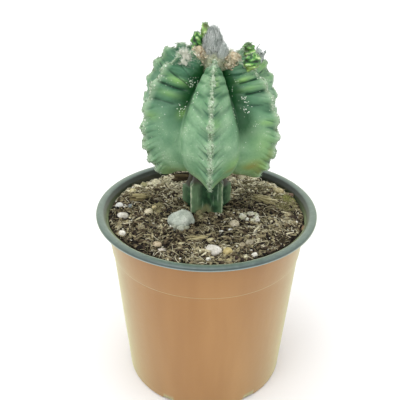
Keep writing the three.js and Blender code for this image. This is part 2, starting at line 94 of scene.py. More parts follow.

# %% [markdown]
# ## Colours and shader nodes
# Colours are given as sRGB hex values, and shaders count in linear light, so one function turns the one into
# the other. One more adds a node with its settings and links.

# %% Colour and node helpers
def linear(hex_colour):
    """An sRGB hex colour as linear red, green, blue and alpha."""
    channels = [int(hex_colour[i:i + 2], 16) / 255 for i in (1, 3, 5)]
    return tuple(c / 12.92 if c <= 0.04045 else ((c + 0.055) / 1.055) ** 2.4 for c in channels) + (1.0,)


def add(tree, kind, inputs=None, stops=(), **settings):
    """A shader node with its settings. An input is a value, or the output socket that feeds it."""
    made = tree.nodes.new("ShaderNode" + kind)
    for name, value in settings.items():
        setattr(made, name, value)
    for name, value in (inputs or {}).items():
        if isinstance(value, bpy.types.NodeSocket):
            tree.links.new(value, made.inputs[name])
        else:
            made.inputs[name].default_value = value
    for _ in stops[2:]:
        made.color_ramp.elements.new(0.5)
    for element, (place, colour) in zip(made.color_ramp.elements if stops else (), stops):
        element.position = place
        element.color = linear(colour)
    return made


def material_tree(name):
    """A new material and its empty node tree."""
    material = bpy.data.materials.new(name)
    material.use_nodes = True
    material.node_tree.nodes.clear()
    return material, material.node_tree


def finish_surface(tree, **principled):
    """Ends a recipe with the main shader and the output. Underscores stand for spaces."""
    inputs = {name.replace("_", " "): value for name, value in principled.items()}
    shader = add(tree, "BsdfPrincipled", inputs)
    add(tree, "OutputMaterial", {"Surface": shader.outputs["BSDF"]})

# %% [markdown]
# Noise, ramps, mixes and reliefs come back in every material, so each has a short name of its own, and
# a material then reads from top to bottom like a recipe. Patterns have real sizes, in millimetres.

# %% Short names for the usual nodes
def object_place(tree):
    """Where each point lies on the plant, in metres."""
    return add(tree, "TexCoord").outputs["Object"]


def noise(tree, place, size_mm, detail=4.0, roughness=0.5, stretch=None):
    """Noise from 0 to 1 with lumps of a size; a stretch below 1 draws them out along that axis."""
    if stretch:
        place = add(tree, "Mapping", {"Vector": place, "Scale": stretch}).outputs["Vector"]
    inputs = {"Vector": place, "Scale": 1000 / size_mm, "Detail": detail, "Roughness": roughness}
    return add(tree, "TexNoise", inputs).outputs["Fac"]


def ramp(tree, amount, stops):
    """The colour that the stops give at an amount."""
    return add(tree, "ValToRGB", {"Fac": amount}, stops).outputs["Color"]


def rescaled(tree, value, low=0.0, high=1.0, to_low=0.0, to_high=1.0):
    """A value taken from one range to another and kept inside it."""
    inputs = {"Value": value, "From Min": low, "From Max": high, "To Min": to_low, "To Max": to_high}
    return add(tree, "MapRange", inputs).outputs["Result"]


def layer_value(tree, name):
    """What a layer of the mesh holds at each point."""
    return add(tree, "Attribute", attribute_name=name).outputs["Fac"]


def math_of(tree, operation, *values):
    """Values added or multiplied at each point."""
    return add(tree, "Math", dict(enumerate(values)), operation=operation).outputs["Value"]


def blend(tree, amount, start, end, **settings):
    """One colour turned towards another, a hex value or a socket, by an amount."""
    end = linear(end) if isinstance(end, str) else end
    mixed = add(tree, "Mix", {0: amount, "A": start, "B": end}, data_type="RGBA", **settings)
    return mixed.outputs[2]


def bumped(tree, height, strength, depth_mm):
    """A fine relief that only the light sees."""
    inputs = {"Height": height, "Strength": strength, "Distance": depth_mm * MM}
    return add(tree, "Bump", inputs).outputs["Normal"]


# %% [markdown]
# ## Light and floor
# Product photographs of small plants are taken in a white tent: light comes from all round, a little
# more from above and in front, and the sheet under the pot runs up behind it without an edge. A white
# world with four soft lamps and one curved sheet does the same.

# %% Light the tent
world = bpy.data.worlds.new("white_tent")
bpy.context.scene.world = world
world.use_nodes = True
world.node_tree.nodes["Background"].inputs["Color"].default_value = linear("#fbfcff")
world.node_tree.nodes["Background"].inputs["Strength"].default_value = 0.8


def soft_lamp(name, place, aim, size, power):
    """A square lamp, with its place, aim and size in metres and its power in watts."""
    lamp = bpy.data.objects.new(name, bpy.data.lights.new(name, "AREA"))
    lamp.data.size, lamp.data.energy = size, power
    lamp.location = place
    lamp.rotation_euler = (Vector(aim) - Vector(place)).to_track_quat("-Z", "Y").to_euler()
    bpy.context.scene.collection.objects.link(lamp)


soft_lamp("top_softbox", (-0.15, -0.25, 1.1), (0, 0, 0.1), 0.9, 6)
soft_lamp("front_left_softbox", (-0.75, -0.85, 0.75), (0, 0, 0.12), 0.6, 2.5)
soft_lamp("right_softbox", (0.95, -0.35, 0.6), (0, 0, 0.12), 0.6, 1.5)
soft_lamp("sheet_softbox", (0, 0.45, 0.95), (0, 1.35, 0.35), 0.9, 5)
bpy.context.scene.view_settings.view_transform = "Standard"

# %% Lay the sheet
SHEET_HALF, SHEET_BEND, SHEET_BACK, SHEET_TOP = 1.6, 0.5, 0.9, 1.6
sheet_line = [(-SHEET_HALF, 0.0), (SHEET_BACK, 0.0)]
sheet_line += [
    (SHEET_BACK + SHEET_BEND * math.sin(a), SHEET_BEND * (1 - math.cos(a)))
    for a in np.linspace(0.1, math.pi / 2, 12)
]
sheet_line.append((SHEET_BACK + SHEET_BEND, SHEET_TOP))
sheet_mesh = bpy.data.meshes.new("studio_sheet")
sheet_mesh.from_pydata(
    [(x, y, z) for y, z in sheet_line for x in (-SHEET_HALF, SHEET_HALF)],
    [],
    [(2 * i, 2 * i + 1, 2 * i + 3, 2 * i + 2) for i in range(len(sheet_line) - 1)],
)
sheet_mesh.shade_smooth()
sheet = bpy.data.objects.new("studio_sheet", sheet_mesh)
bpy.context.scene.collection.objects.link(sheet)
white_sheet, tree = material_tree("matt_white_board")
finish_surface(tree, Base_Color=linear("#f6f6f4"), Roughness=0.9)
sheet_mesh.materials.append(white_sheet)
sheet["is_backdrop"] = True

# %% [markdown]
# ## Meshes from arrays
# Ribs, grit and wool are all shapes that a formula can place, and numpy works such formulas out for
# thousands of points at once. Everything is in millimetres until a mesh is made. A shape is its points
# with groups of faces: a skin over rings of points makes what is round, and a small shape can be set
# down many times.

# %% Mesh helpers
def unit(vectors):
    """The same vectors, one long."""
    return vectors / np.maximum(np.linalg.norm(vectors, axis=-1, keepdims=True), 1e-9)


def vectors(*parts):
    """Vectors from their parts, each a number or an array."""
    return np.stack(np.broadcast_arrays(*parts), -1)


def facing(turn):
    """The way out of the pot at a turn, in degrees from the front towards the right."""
    angle = np.radians(turn)
    return vectors(np.sin(angle), -np.cos(angle), 0.0)


def round_turns(count):
    """Even turns all the way round, in degrees."""
    return np.arange(count) * 360 / count


def smooth_step(value, low, high):
    """From 0 at one value to 1 at the other, level at both ends."""
    share = np.clip((np.asarray(value, float) - low) / (high - low), 0, 1)
    return share * share * (3 - 2 * share)


def ringed_skin(rings, lower, upper):
    """A closed skin over rings of points, (ring, side, xyz), between a lower and an upper pole."""
    count, sides, _ = rings.shape
    points = np.vstack([rings.reshape(-1, 3), lower, upper])
    index = np.arange(count * sides).reshape(count, sides)
    ahead_of = np.roll(index, -1, axis=1)
    quads = np.stack([index[:-1], ahead_of[:-1], ahead_of[1:], index[1:]], -1).reshape(-1, 4)
    low, high = np.full(sides, len(points) - 2), np.full(sides, len(points) - 1)
    ends = np.vstack([
        np.stack([low, ahead_of[0], index[0]], -1),
        np.stack([index[-1], ahead_of[-1], high], -1),
    ])
    return points, [quads, ends]


def copies(shape, frames, places):
    """A closed shape, (points, faces), set down many times; the columns of each frame are its axes."""
    points, faces = shape
    count = len(places)
    moved = np.einsum("nij,vj->nvi", frames, points) + places[:, None]
    shift = len(points) * np.arange(count)[:, None, None]
    return moved.reshape(-1, 3), [(f[None] + shift).reshape(-1, f.shape[1]) for f in faces]

# %% [markdown]
# A piece rides on a body of the frame and stands for one of its solids, which is hidden. What a material has
# to know about each point is kept in the mesh as a layer of numbers.

# %% Place a piece
def add_layer(mesh, name, values):
    """Keeps one value a point in the mesh, for its material to read."""
    layer = mesh.attributes.new(name, "FLOAT", "POINT")
    layer.data.foreach_set("value", np.asarray(values, np.float32))


def place_piece(piece, material, node):
    """Links a piece, gives it its material and hides the solid of the frame that it stands for."""
    bpy.context.scene.collection.objects.link(piece)
    piece.data.materials.clear()
    piece.data.materials.append(material)
    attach(piece, "root")
    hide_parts(node)
    size = [round(v / MM, 1) for v in piece.dimensions]
    print(f"{piece.name}: {len(piece.data.polygons)} faces, {size} mm")


# %% [markdown]
# ## Pot
# The pot is polypropylene sheet, drawn hot over a mould: thin, terracotta outside and grey-green
# inside, with its lip turned down so that the inside colour shows all round the rim. Such a pot is
# turned from one line, so a lathe of that line is the natural way. Each corner of the line is rounded
# by a small curve, as hot sheet can't take a sharp one, and this is what catches the light.

# %% Draw the line of the pot
POT_COLUMNS = 512
POT_LINE = [  # radius, height and how far each corner is cut back for its rounding
    (0.0, 2.6, 0), (38.4, 2.6, 0.7), (39.4, 0.0, 0.4), (44.9, 0.0, 0.4), (45.8, 0.9, 0.5),
    (52.0, 81.9, 0.3), (52.5, 82.4, 0.3), (55.3, 104.4, 0.8), (59.1, 104.4, 0.4), (59.1, 103.6, 0.15),
    (60.0, 103.6, 0.25), (60.0, 105.0, 0.6), (58.8, 105.5, 0.6), (57.0, 105.5, 0.6), (55.9, 105.0, 0.6),
    (54.2, 103.2, 0.8), (51.4, 82.9, 0.3), (50.9, 81.9, 0.3), (44.7, 4.7, 0.8), (43.7, 3.7, 0.6),
    (0.0, 3.7, 0),
]


def rounded_line(corners, steps=5):
    """The line with a small curve in place of each corner that has one."""
    corners = [np.array(c, float) for c in corners]
    line = []
    for before, here, after in zip([corners[0]] + corners[:-1], corners, corners[1:] + [corners[-1]]):
        place, cut = here[:2], here[2]
        if cut == 0:
            line.append(place)
            continue
        start = place + cut * unit(before[:2] - place)
        end = place + cut * unit(after[:2] - place)
        for t in np.linspace(0, 1, steps):
            line.append((1 - t) ** 2 * start + 2 * t * (1 - t) * place + t * t * end)
    return np.array(line)


def filled_line(line, longest):
    """The line with more points where two lie further apart than the longest step."""
    steps = [np.linspace(a, b, max(2, int(np.linalg.norm(b - a) / longest) + 1))[:-1]
             for a, b in zip(line[:-1], line[1:])]
    return np.vstack(steps + [line[-1:]])


pot_line = filled_line(rounded_line(POT_LINE), 4.0)
pot_rings = pot_line[1:-1, None, :1] * facing(round_turns(POT_COLUMNS))[None]
pot_rings[..., 2] = pot_line[1:-1, None, 1]
print("pot line has", len(pot_line), "points")

# %% [markdown]
# Water leaves by six shallow slots across the foot ring and six holes in the raised floor. The slots
# are pressed in by lifting what lies between their sides.

# %% Press in the slots
SLOT_COUNT, SLOT_TURN, SLOT_WIDTH, SLOT_DEPTH = 6, 34, 7.5, 1.8
slot_turns = SLOT_TURN + round_turns(SLOT_COUNT)
for turn in slot_turns:
    out_way = facing(turn)
    across = pot_rings @ np.cross([0, 0, 1], out_way)
    in_slot = (np.abs(across) < SLOT_WIDTH / 2) & (pot_rings @ out_way > 0)
    pot_rings[..., 2] = np.where(in_slot & (pot_rings[..., 2] < SLOT_DEPTH), SLOT_DEPTH, pot_rings[..., 2])

# %% [markdown]
# The holes are cut by a Boolean, which takes six round punches out of the shell. It is worked into the
# mesh at once, so that the layers can be added to the points that it leaves.

# %% Punch the holes
HOLE_RADIUS, HOLE_RING, HOLE_SIDES, PUNCH_HEIGHTS = 4.0, 29.0, 28, (0.5, 6.0)


def raw_object(name, shape):
    """A mesh object that is only worked on and not yet a piece."""
    points, faces = shape
    mesh = bpy.data.meshes.new(name)
    mesh.from_pydata((points * MM).tolist(), [], [f for group in faces for f in group.tolist()])
    made = bpy.data.objects.new(name, mesh)
    bpy.context.scene.collection.objects.link(made)
    return made


def with_modifiers(made):
    """The object's mesh with its modifiers worked in; the object itself goes."""
    bpy.context.view_layer.update()
    settled = made.evaluated_get(bpy.context.evaluated_depsgraph_get())
    mesh = bpy.data.meshes.new_from_object(settled)
    bpy.data.objects.remove(made)
    return mesh


pot_shape = ringed_skin(pot_rings, [0, 0, POT_LINE[0][1]], [0, 0, POT_LINE[-1][1]])
punch_ends = [np.array([0, 0, height]) for height in PUNCH_HEIGHTS]
punch_rings = np.stack([HOLE_RADIUS * facing(round_turns(HOLE_SIDES)) + end for end in punch_ends])
straight = np.repeat(np.eye(3)[None], SLOT_COUNT, 0)
punches = copies(ringed_skin(punch_rings, *punch_ends), straight, HOLE_RING * facing(slot_turns))
shell = raw_object("pot_blank", pot_shape)
punch = raw_object("hole_punch", punches)
holes = shell.modifiers.new("holes", "BOOLEAN")
holes.operation, holes.object, holes.solver = "DIFFERENCE", punch, "EXACT"
pot_mesh = with_modifiers(shell)
bpy.data.objects.remove(punch)
pot_mesh.shade_smooth()
print("pot shell has", len(pot_mesh.polygons), "faces")

# %% [markdown]
# The shell is one mesh, so layers say where the plastic looks otherwise: inside, and where light and shade
# are painted into the lip's colour: painted shade on the inner wall under the rim, a painted reflection at
# the left and right sides of the lip, and a painted shade line and a painted highlight line on the
# turned-down hem.

# %% Layers of the pot
WALL_HALF, FLOOR_HEIGHT, LIP_HEIGHT = 0.6, 3.0, 103.3
outer_wall = rounded_line(POT_LINE[3:8])


def mesh_points(mesh):
    """The points of a mesh in millimetres."""
    points = np.empty(len(mesh.vertices) * 3, np.float32)
    mesh.vertices.foreach_get("co", points)
    return points.reshape(-1, 3).astype(float) / MM


def pot_layers(points):
    """Shares by point: inner colour, painted shade on the wall under the lip, painted reflection paler at
    the lip's sides, and painted shade and highlight lines on the hem.
    """
    radius, height = np.linalg.norm(points[:, :2], axis=1), points[:, 2]
    wall = np.interp(height, outer_wall[:, 1], outer_wall[:, 0])
    inside = (radius < wall - WALL_HALF) & (height > FLOOR_HEIGHT)
    rim = smooth_step(radius, 58.9, 59.5)
    return {
        "lining": (inside | (height > LIP_HEIGHT)).astype(float),
        # painted shade: the inner wall below the lip, darkened nearly to black
        "deep": smooth_step(-height, -105.3, -104.7) * (radius < 58),
        "dust_and_sheen": smooth_step(np.abs(points[:, 0]), 22, 56),
        # painted shade and a painted highlight: a dark line and a pale line along the hem of the lip
        "hem_painted_shade": rim * np.exp(-((height - 104.7) / 0.4) ** 2),
        "hem_painted_highlight": rim * smooth_step(-height, -104.4, -104.0),
    }


for layer, shares in pot_layers(mesh_points(pot_mesh)).items():
    add_layer(pot_mesh, layer, shares)

# %% [markdown]
# Thermoformed polypropylene is satin: it copies the mould, so it is even, with a faint orange peel about 2
# mm across and long soft streaks where the sheet was drawn down. Both colours are one skin, so one material
# holds them and the layer `lining` chooses. At a low angle the white tent shows in the gloss, and fine dust
# gives a soft pale sheen, so the sides of the pot pale towards their edges. The lip's colour also carries
# painted light and shade: paler at its left and right sides as a painted reflection, near black on the inner
# wall as painted shade, and a dark line and a pale line on the hem as painted shade and a painted highlight.

# %% Thermoformed polypropylene
pot_plastic, tree = material_tree("thermoformed_polypropylene")
place = object_place(tree)
streaks = noise(tree, place, 16.667, 3.0, stretch=(1, 1, 0.15))
terracotta = ramp(tree, streaks, [(0.25, "#966227"), (0.5, "#9e6b30"), (0.8, "#a9773c")])
dust_and_sheen = noise(tree, place, 3.125, 4.0, 0.7)
lip = ramp(tree, dust_and_sheen, [(0.3, "#42534f"), (0.55, "#4f615c"), (0.8, "#66766f")])
# Painted light and shade on the lip: the first layer paints it paler at its left and right sides, a painted
# reflection; the second paints the inner wall near black, painted shade; the last two paint a dark line and
# a pale line on the hem, painted shade and a painted highlight.
for layer, hex_colour, strength in (
    ("dust_and_sheen", "#82917f", 0.16), ("deep", "#0e1511", 0.97),
    ("hem_painted_shade", "#26363a", 0.8), ("hem_painted_highlight", "#9fb0ae", 0.8),
):
    lip = blend(tree, math_of(tree, "MULTIPLY", layer_value(tree, layer), strength), lip, hex_colour)
colour = blend(tree, layer_value(tree, "lining"), terracotta, lip)
satin = rescaled(tree, dust_and_sheen, to_low=0.3, to_high=0.46)
orange_peel = bumped(tree, noise(tree, place, 2.0, 2.0), 0.12, 0.3)
finish_surface(tree, Base_Color=colour, Roughness=satin, IOR=1.49, Normal=orange_peel,
               Coat_Weight=0.35, Coat_Roughness=0.25,
               Sheen_Weight=0.65, Sheen_Roughness=0.42, Sheen_Tint=linear("#dcf0b4"))
place_piece(bpy.data.objects.new("pot_shell", pot_mesh), pot_plastic, "pot")

# %% [markdown]
# ## Potting mix
# Cactus compost is peat and coir with grit: dark crumbs, split bits, pale fibres and white grains,
# heaped as they fell. One displaced ground gives the heaps, and thousands of small pieces lie on it.
# They are worked out as arrays of places, sizes and turns, so that each kind is one mesh, and a fixed
# seed gives the same soil each time. `grain` is the one source of unevenness in forms.

# %% Smooth noise
def grain(points, size, seed=0, octaves=2):
    """Smooth noise from -1 to 1 at each point, with lumps of that size; each octave adds finer ones."""
    total, weight = 0.0, 1.0
    points = np.atleast_2d(np.asarray(points, float))
    for octave in range(octaves):
        place = points * (2 ** octave / size) + 31.7 * seed + 9.1 * octave
        cell = np.floor(place).astype(np.int64)
        share = place - cell
        share = share * share * (3 - 2 * share)
        value = 0.0
        for corner in np.ndindex(2, 2, 2):
            key = (cell + corner) @ np.array([73856093, 19349663, 83492791]) + 7919 * seed
            key = (key ^ (key >> 13)) * 1274126177 & 0x7FFFFFFF
            key = (key ^ (key >> 15)) * 668265263 & 0x7FFFFFFF
            near = np.prod(np.where(corner, share, 1 - share), axis=1)
            value = value + near * (key / 0x7FFFFFFF)
        total = total + weight * (2 * value - 1)
        weight *= 0.5
    return total / (2 - 2 * weight)


# %% Heap the ground
SOIL_LEVEL, SOIL_DISH, SOIL_CRUMB, WALL_TOP_RADIUS = 102.0, 0.9, 0.3, 55.3
SOIL_DIP = {"x": -30.0, "y": 40.0, "depth": 2.4, "spread": 9.0}
SOIL_EDGE, SOIL_GAP = 53.45, 0.5
GROUND_UNDER = [(42.7, 4.2), (44.2, 5.2), (50.4, 81.9), (50.9, 82.9)]  # radius, height
GROUND_COLUMNS, GROUND_RINGS, GROUND_CORE = 300, 120, 0.012


def soil_height(x, y):
    """The height of the frame's soil, in mm: a shallow dish with low waves, washed down at one side."""
    dish = SOIL_DISH * (x * x + y * y) / WALL_TOP_RADIUS ** 2
    away = (x - SOIL_DIP["x"]) ** 2 + (y - SOIL_DIP["y"]) ** 2
    dip = SOIL_DIP["depth"] * np.exp(-away / (2 * SOIL_DIP["spread"] ** 2))
    waves = np.sin(0.53 * x + 1.1 * np.sin(0.41 * y)) + np.cos(0.61 * y - 0.37 * x)
    return SOIL_LEVEL + dish - dip + SOIL_CRUMB * waves


def ground_height(points):
    """The soil's height with its heaps, and drawn down where it dried away from the wall."""
    flat = points * [1, 1, 0]
    radius = np.linalg.norm(flat, axis=-1)
    shrunk = 1.5 * smooth_step(radius, 47.5, 52.5) * smooth_step(points[..., 1], -35, 5)
    return soil_height(points[..., 0], points[..., 1]) + 0.75 * grain(flat, 5.0, 1, 3) - 0.25 - shrunk


turns = round_turns(GROUND_COLUMNS)
ground_rings = [radius * facing(turns) + [0, 0, height] for radius, height in GROUND_UNDER]
for share in np.linspace(1, GROUND_CORE, GROUND_RINGS):
    ring = SOIL_EDGE * share * facing(turns)
    ring[:, 2] = ground_height(ring) - SOIL_GAP
    ground_rings.append(ring)
ground_middle = [0, 0, ground_height(np.zeros((1, 3)))[0]]
ground = ringed_skin(np.array(ground_rings), [0, 0, GROUND_UNDER[0][1]], ground_middle)

# %% [markdown]
# A mesh is filled from whole arrays at once: the points, then the corners of all the faces in one row,
# with the place in that row where each face starts.

# %% Make a piece from arrays
def make_piece(name, shape, material, node, slot, **layers):
    """A mesh piece from points in mm. Layers are values by point that its material reads."""
    points, faces = shape
    totals = np.concatenate([np.full(len(group), group.shape[1]) for group in faces])
    starts = np.concatenate([[0], np.cumsum(totals)[:-1]])
    corners = np.concatenate([group.ravel() for group in faces])
    mesh = bpy.data.meshes.new(name)
    mesh.vertices.add(len(points))
    mesh.vertices.foreach_set("co", (points * MM).astype(np.float32).ravel())
    mesh.loops.add(len(corners))
    mesh.loops.foreach_set("vertex_index", corners.astype(np.int32))
    mesh.polygons.add(len(totals))
    mesh.polygons.foreach_set("loop_start", starts.astype(np.int32))
    mesh.update(calc_edges=True)
    mesh.shade_smooth()
    for layer, values in layers.items():
        add_layer(mesh, layer, values)
    place_piece(bpy.data.objects.new(name, mesh), material, node)


# %% [markdown]
# Peat is dark brown, khaki on its dry crumbs, and scatters light so that it has no shine at all. The ground
# between the crumbs is painted nearly black, as painted shade in the gaps. The colour follows noise about as
# coarse as the crumbs, 1 to 3 mm.

# %% Damp peat
peat, tree = material_tree("peat_with_painted_gap_shade")
clods = noise(tree, object_place(tree), 2.381, 6.0, 0.7)
brown = ramp(tree, clods, [(0.32, "#0d0b08"), (0.5, "#2a231a"), (0.64, "#564b39"), (0.8, "#857a5c")])
finish_surface(tree, Base_Color=brown, Roughness=0.95, Normal=bumped(tree, clods, 0.9, 0.8),
               Specular_IOR_Level=0.2)
make_piece("soil_ground", ground, peat, "soil", "potting_mix")

# %% [markdown]
# Crumbs, splinters, fibres and grit differ in shape and colour only. `tone` is one number a bit, and a
# ramp turns it into a colour, so a whole kind of bit shares one material and still looks mixed.

# %% Shapes for small bits
def lump(seed, detail=1, rough=0.25):
    """A knobbly ball, one across, made from an icosphere."""
    ball = bmesh.new()
    bmesh.ops.create_icosphere(ball, subdivisions=detail, radius=0.5)
    points = np.array([v.co for v in ball.verts])
    faces = np.array([[v.index for v in f.verts] for f in ball.faces])
    ball.free()
    return points * (1 + rough * grain(points, 0.55, seed))[:, None], [faces]


def level_way(angle):
    """The level way at an angle in radians, counted from the right towards the back."""
    return vectors(np.cos(angle), np.sin(angle), 0.0)


def random_frames(random, sizes, tilt):
    """Frames with a free turn about the vertical and a lean of up to the tilt, in degrees."""
    count = len(sizes)
    spin, lean, way = (random.uniform(-1, 1, count) * limit for limit in (np.pi, np.radians(tilt), np.pi))
    up = vectors(np.sin(lean) * np.cos(way), np.sin(lean) * np.sin(way), np.cos(lean))
    side = unit(np.cross(up, level_way(spin)))
    return np.stack([np.cross(side, up), side, up], -1) * sizes[:, None, :]


STOCK_PLACE, STOCK_CLEARANCE, SOIL_REACH = np.array([0.0, 8.0]), 11.0, 52.4


def soil_spots(random, count, height):
    """Places on the ground, even over its area and clear of the stock, lifted by the height."""
    radius = SOIL_REACH * np.sqrt(random.uniform(0, 1, count))
    spots = radius[:, None] * facing(random.uniform(0, 360, count))
    spots = spots[np.linalg.norm(spots[:, :2] - STOCK_PLACE, axis=1) > STOCK_CLEARANCE]
    spots[:, 2] = ground_height(spots) + height
    return spots


def toned_material(name, stops, size_mm, roughness=0.9, bump=0.5):
    """A dull material whose ramp is read at each bit's tone, with mottling of a size in mm."""
    material, tree = material_tree(name)
    mottle = noise(tree, object_place(tree), size_mm)
    shade = rescaled(tree, mottle, to_low=-0.16, to_high=0.16)
    colour = ramp(tree, math_of(tree, "ADD", layer_value(tree, "tone"), shade), stops)
    finish_surface(tree, Base_Color=colour, Roughness=roughness, Specular_IOR_Level=0.25,
                   Normal=bumped(tree, mottle, bump, size_mm / 4))
    return material


# %% Join bits into a piece
def joined(*shapes):
    """Several shapes as one."""
    points, faces, start = [], [], 0
    for shape_points, shape_faces in shapes:
        points.append(shape_points)
        faces += [f + start for f in shape_faces]
        start += len(shape_points)
    return np.vstack(points), faces


def make_toned_piece(name, material, node, slot, *groups):
    """A piece of several shapes. A group is a shape and its tones, from 0 to 1: one, or one a copy."""
    shapes, tones = zip(*groups)
    by_point = [np.repeat(t, len(s[0]) // np.size(t)) for s, t in zip(shapes, tones)]
    make_piece(name, joined(*shapes), material, node, slot, tone=np.clip(np.concatenate(by_point), 0, 1))


# %% Scatter peat crumbs and wood splinters
LUMP_SEEDS, MOSTLY_SMALL = (3, 4, 5, 6), 2.2
random = np.random.default_rng(2024)
CRUMB_TONES = [(0.0, "#0f0c09"), (0.28, "#352a22"), (0.52, "#665943"), (0.78, "#a59b78"), (1.0, "#e2dcbe")]
peat_crumbs = toned_material("peat_crumbs", CRUMB_TONES, 1.2)


def clump_tone_with_painted_back_light(spots):
    """How much paler a place is: dry clumps against damp hollows, and painted light that makes the back of
    the soil paler.
    """
    return 0.34 * grain(spots * [1, 1, 0], 9.0, 9) + 0.55 * smooth_step(spots[:, 1], 5, 45) - 0.05


def scatter(name, count, size_range, widths, heights, tilt, tones, material, lift=0.2):
    """Knobbly bits all over the soil. Widths and heights are shares of the length."""
    groups = []
    for seed in LUMP_SEEDS:
        spots = soil_spots(random, count // len(LUMP_SEEDS), lift)
        length = size_range[0] + np.ptp(size_range) * random.uniform(0, 1, len(spots)) ** MOSTLY_SMALL
        width, height = (random.uniform(*shares, len(spots)) for shares in (widths, heights))
        sizes = length[:, None] * vectors(1.0, width, height)
        bits = copies(lump(seed), random_frames(random, sizes, tilt), spots)
        groups.append((bits, random.uniform(*tones, len(spots)) + clump_tone_with_painted_back_light(spots)))
    make_toned_piece(name, material, "soil", "potting_mix", *groups)


scatter("peat_crumbs", 6400, (0.7, 3.2), (0.6, 1.0), (0.45, 0.9), 60, (0.0, 0.84), peat_crumbs)
scatter("wood_splinters", 1800, (2.0, 8.5), (0.13, 0.28), (0.09, 0.18), 22, (0.1, 0.95), peat_crumbs, 0.55)

# %% [markdown]
# Coir fibre is the hair of a coconut husk, 0.2 to 0.4 mm thick, springy and pale where it has dried.
# Each fibre here is a bow that starts and ends in the soil, with a little wander.

# %% Lay coir fibres
FIBRE_POINTS, FIBRE_REACH = 9, 53.0


def strands(paths, radii, sides=3):
    """Closed thin tubes along paths, (strand, point, xyz), with radii, (strand, point)."""
    count, steps, _ = paths.shape
    along = unit(np.gradient(paths, axis=1))
    guide = np.where(np.abs(along[..., 2:]) < 0.9, [0.0, 0.0, 1.0], [1.0, 0.0, 0.0])
    side = unit(np.cross(along, guide))
    over = np.cross(along, side)
    angle = 2 * np.pi * np.arange(sides)[:, None] / sides
    spread = np.cos(angle) * side[:, :, None] + np.sin(angle) * over[:, :, None]
    points = paths[:, :, None] + radii[:, :, None, None] * spread
    index = np.arange(count * steps * sides).reshape(count, steps, sides)
    ahead_of = np.roll(index, -1, axis=2)
    quads = np.stack([index[:, :-1], ahead_of[:, :-1], ahead_of[:, 1:], index[:, 1:]], -1)
    caps = np.vstack([index[:, 0, ::-1], index[:, -1]])
    return points.reshape(-1, 3), [quads.reshape(-1, 4), caps]


def soil_fibres(random, count, lengths, thickness, rise):
    """Bowed fibres lying on the soil, as paths and radii."""
    spots = soil_spots(random, count, 0.0)
    way = random.uniform(0, 2 * np.pi, len(spots))
    bend = random.normal(0, 0.9, len(spots))
    length = random.uniform(*lengths, len(spots))
    share = np.linspace(-0.5, 0.5, FIBRE_POINTS)
    step = level_way(way[:, None] + bend[:, None] * share) * length[:, None, None] / FIBRE_POINTS
    paths = spots[:, None] + np.cumsum(step, axis=1) - step.sum(axis=1, keepdims=True) / 2
    paths[..., :2] *= np.minimum(1, FIBRE_REACH / np.linalg.norm(paths[..., :2], axis=-1, keepdims=True))
    bow = 1 - (2 * share) ** 2
    height = ground_height(paths.reshape(-1, 3)).reshape(paths.shape[:2])
    settled = 0.5 * (height + height.mean(axis=1, keepdims=True))
    paths[..., 2] = settled + 0.2 + random.uniform(*rise, len(spots))[:, None] * bow
    return paths, random.uniform(*thickness, len(spots))[:, None] / 2 * (0.55 + 0.45 * bow)


COIR_TONES = [(0.0, "#2f2a1b"), (0.35, "#756c4e"), (0.7, "#b1a884"), (1.0, "#e2dcc2")]
coir = toned_material("dry_coir_fibre", COIR_TONES, 2.0, roughness=0.75, bump=0.2)
paths, radii = soil_fibres(random, 2900, (3.0, 11.0), (0.18, 0.42), (0.0, 1.3))
fibre_tones = random.uniform(0.05, 1.0, len(paths)) + clump_tone_with_painted_back_light(paths[:, FIBRE_POINTS // 2])
make_toned_piece("coir_fibres", coir, "soil", "potting_mix", (strands(paths, radii), fibre_tones))

# %% [markdown]
# Perlite is volcanic glass popped like corn: white, light and foamy. Its dust and broken grains lie all
# over the mix, so one mesh holds the small ones, and the larger stones are pieces of their own.

# %% Sprinkle perlite grains
PERLITE_TONES = [(0.0, "#aaa691"), (0.5, "#d3d0bf"), (1.0, "#efede2")]
perlite = toned_material("popped_perlite", PERLITE_TONES, 0.8, bump=0.8)
scatter("perlite_grains", 300, (0.6, 2.0), (0.7, 1.0), (0.6, 0.9), 90, (0.1, 1.0), perlite, 0.5)

# %% [markdown]
# ## Stones
# Pumice is a froth of rock: rounded, pale and pitted. The pebbles among it are river gravel, smoother
# and ochre, tan or greenish. Each stone is a solid of the frame, so its finer piece is grown from that
# solid: the mesh is copied and joined up, smoothed by subdivision, filled out again to the size that
# smoothing takes away, and then dented by noise at the scale of its pits.

# %% Grow the stones from their solids
DENT_SIZE = 3.0


def refined(node, levels, fill, relief, seed):
    """A smooth, dented copy of a solid. Fill enlarges it again; relief is the depth of dents in mm."""
    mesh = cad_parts[node].data.copy()
    mesh.materials.clear()
    work = bmesh.new()
    work.from_mesh(mesh)
    bmesh.ops.remove_doubles(work, verts=work.verts, dist=1e-5)
    work.to_mesh(mesh)
    work.free()
    blank = bpy.data.objects.new(node + "_blank", mesh)
    bpy.context.scene.collection.objects.link(blank)
    smoothing = blank.modifiers.new("round", "SUBSURF")
    smoothing.levels = smoothing.render_levels = levels
    mesh = with_modifiers(blank)
    points = mesh_points(mesh)
    middle = (points.min(axis=0) + points.max(axis=0)) / 2
    points = middle + fill * (points - middle)
    pits = np.abs(grain(points, DENT_SIZE / 3, seed + 5))
    dents = relief * (grain(points, DENT_SIZE, seed) - 0.6 * pits)
    points = points + unit(points - middle) * dents[:, None]
    mesh.vertices.foreach_set("co", (points * MM).astype(np.float32).ravel())
    mesh.shade_smooth()
    return mesh


def cells(tree, place, size_mm):
    """The distance from the middle of the nearest cell, for cells of a size."""
    return add(tree, "TexVoronoi", {"Vector": place, "Scale": 1000 / size_mm}).outputs["Distance"]


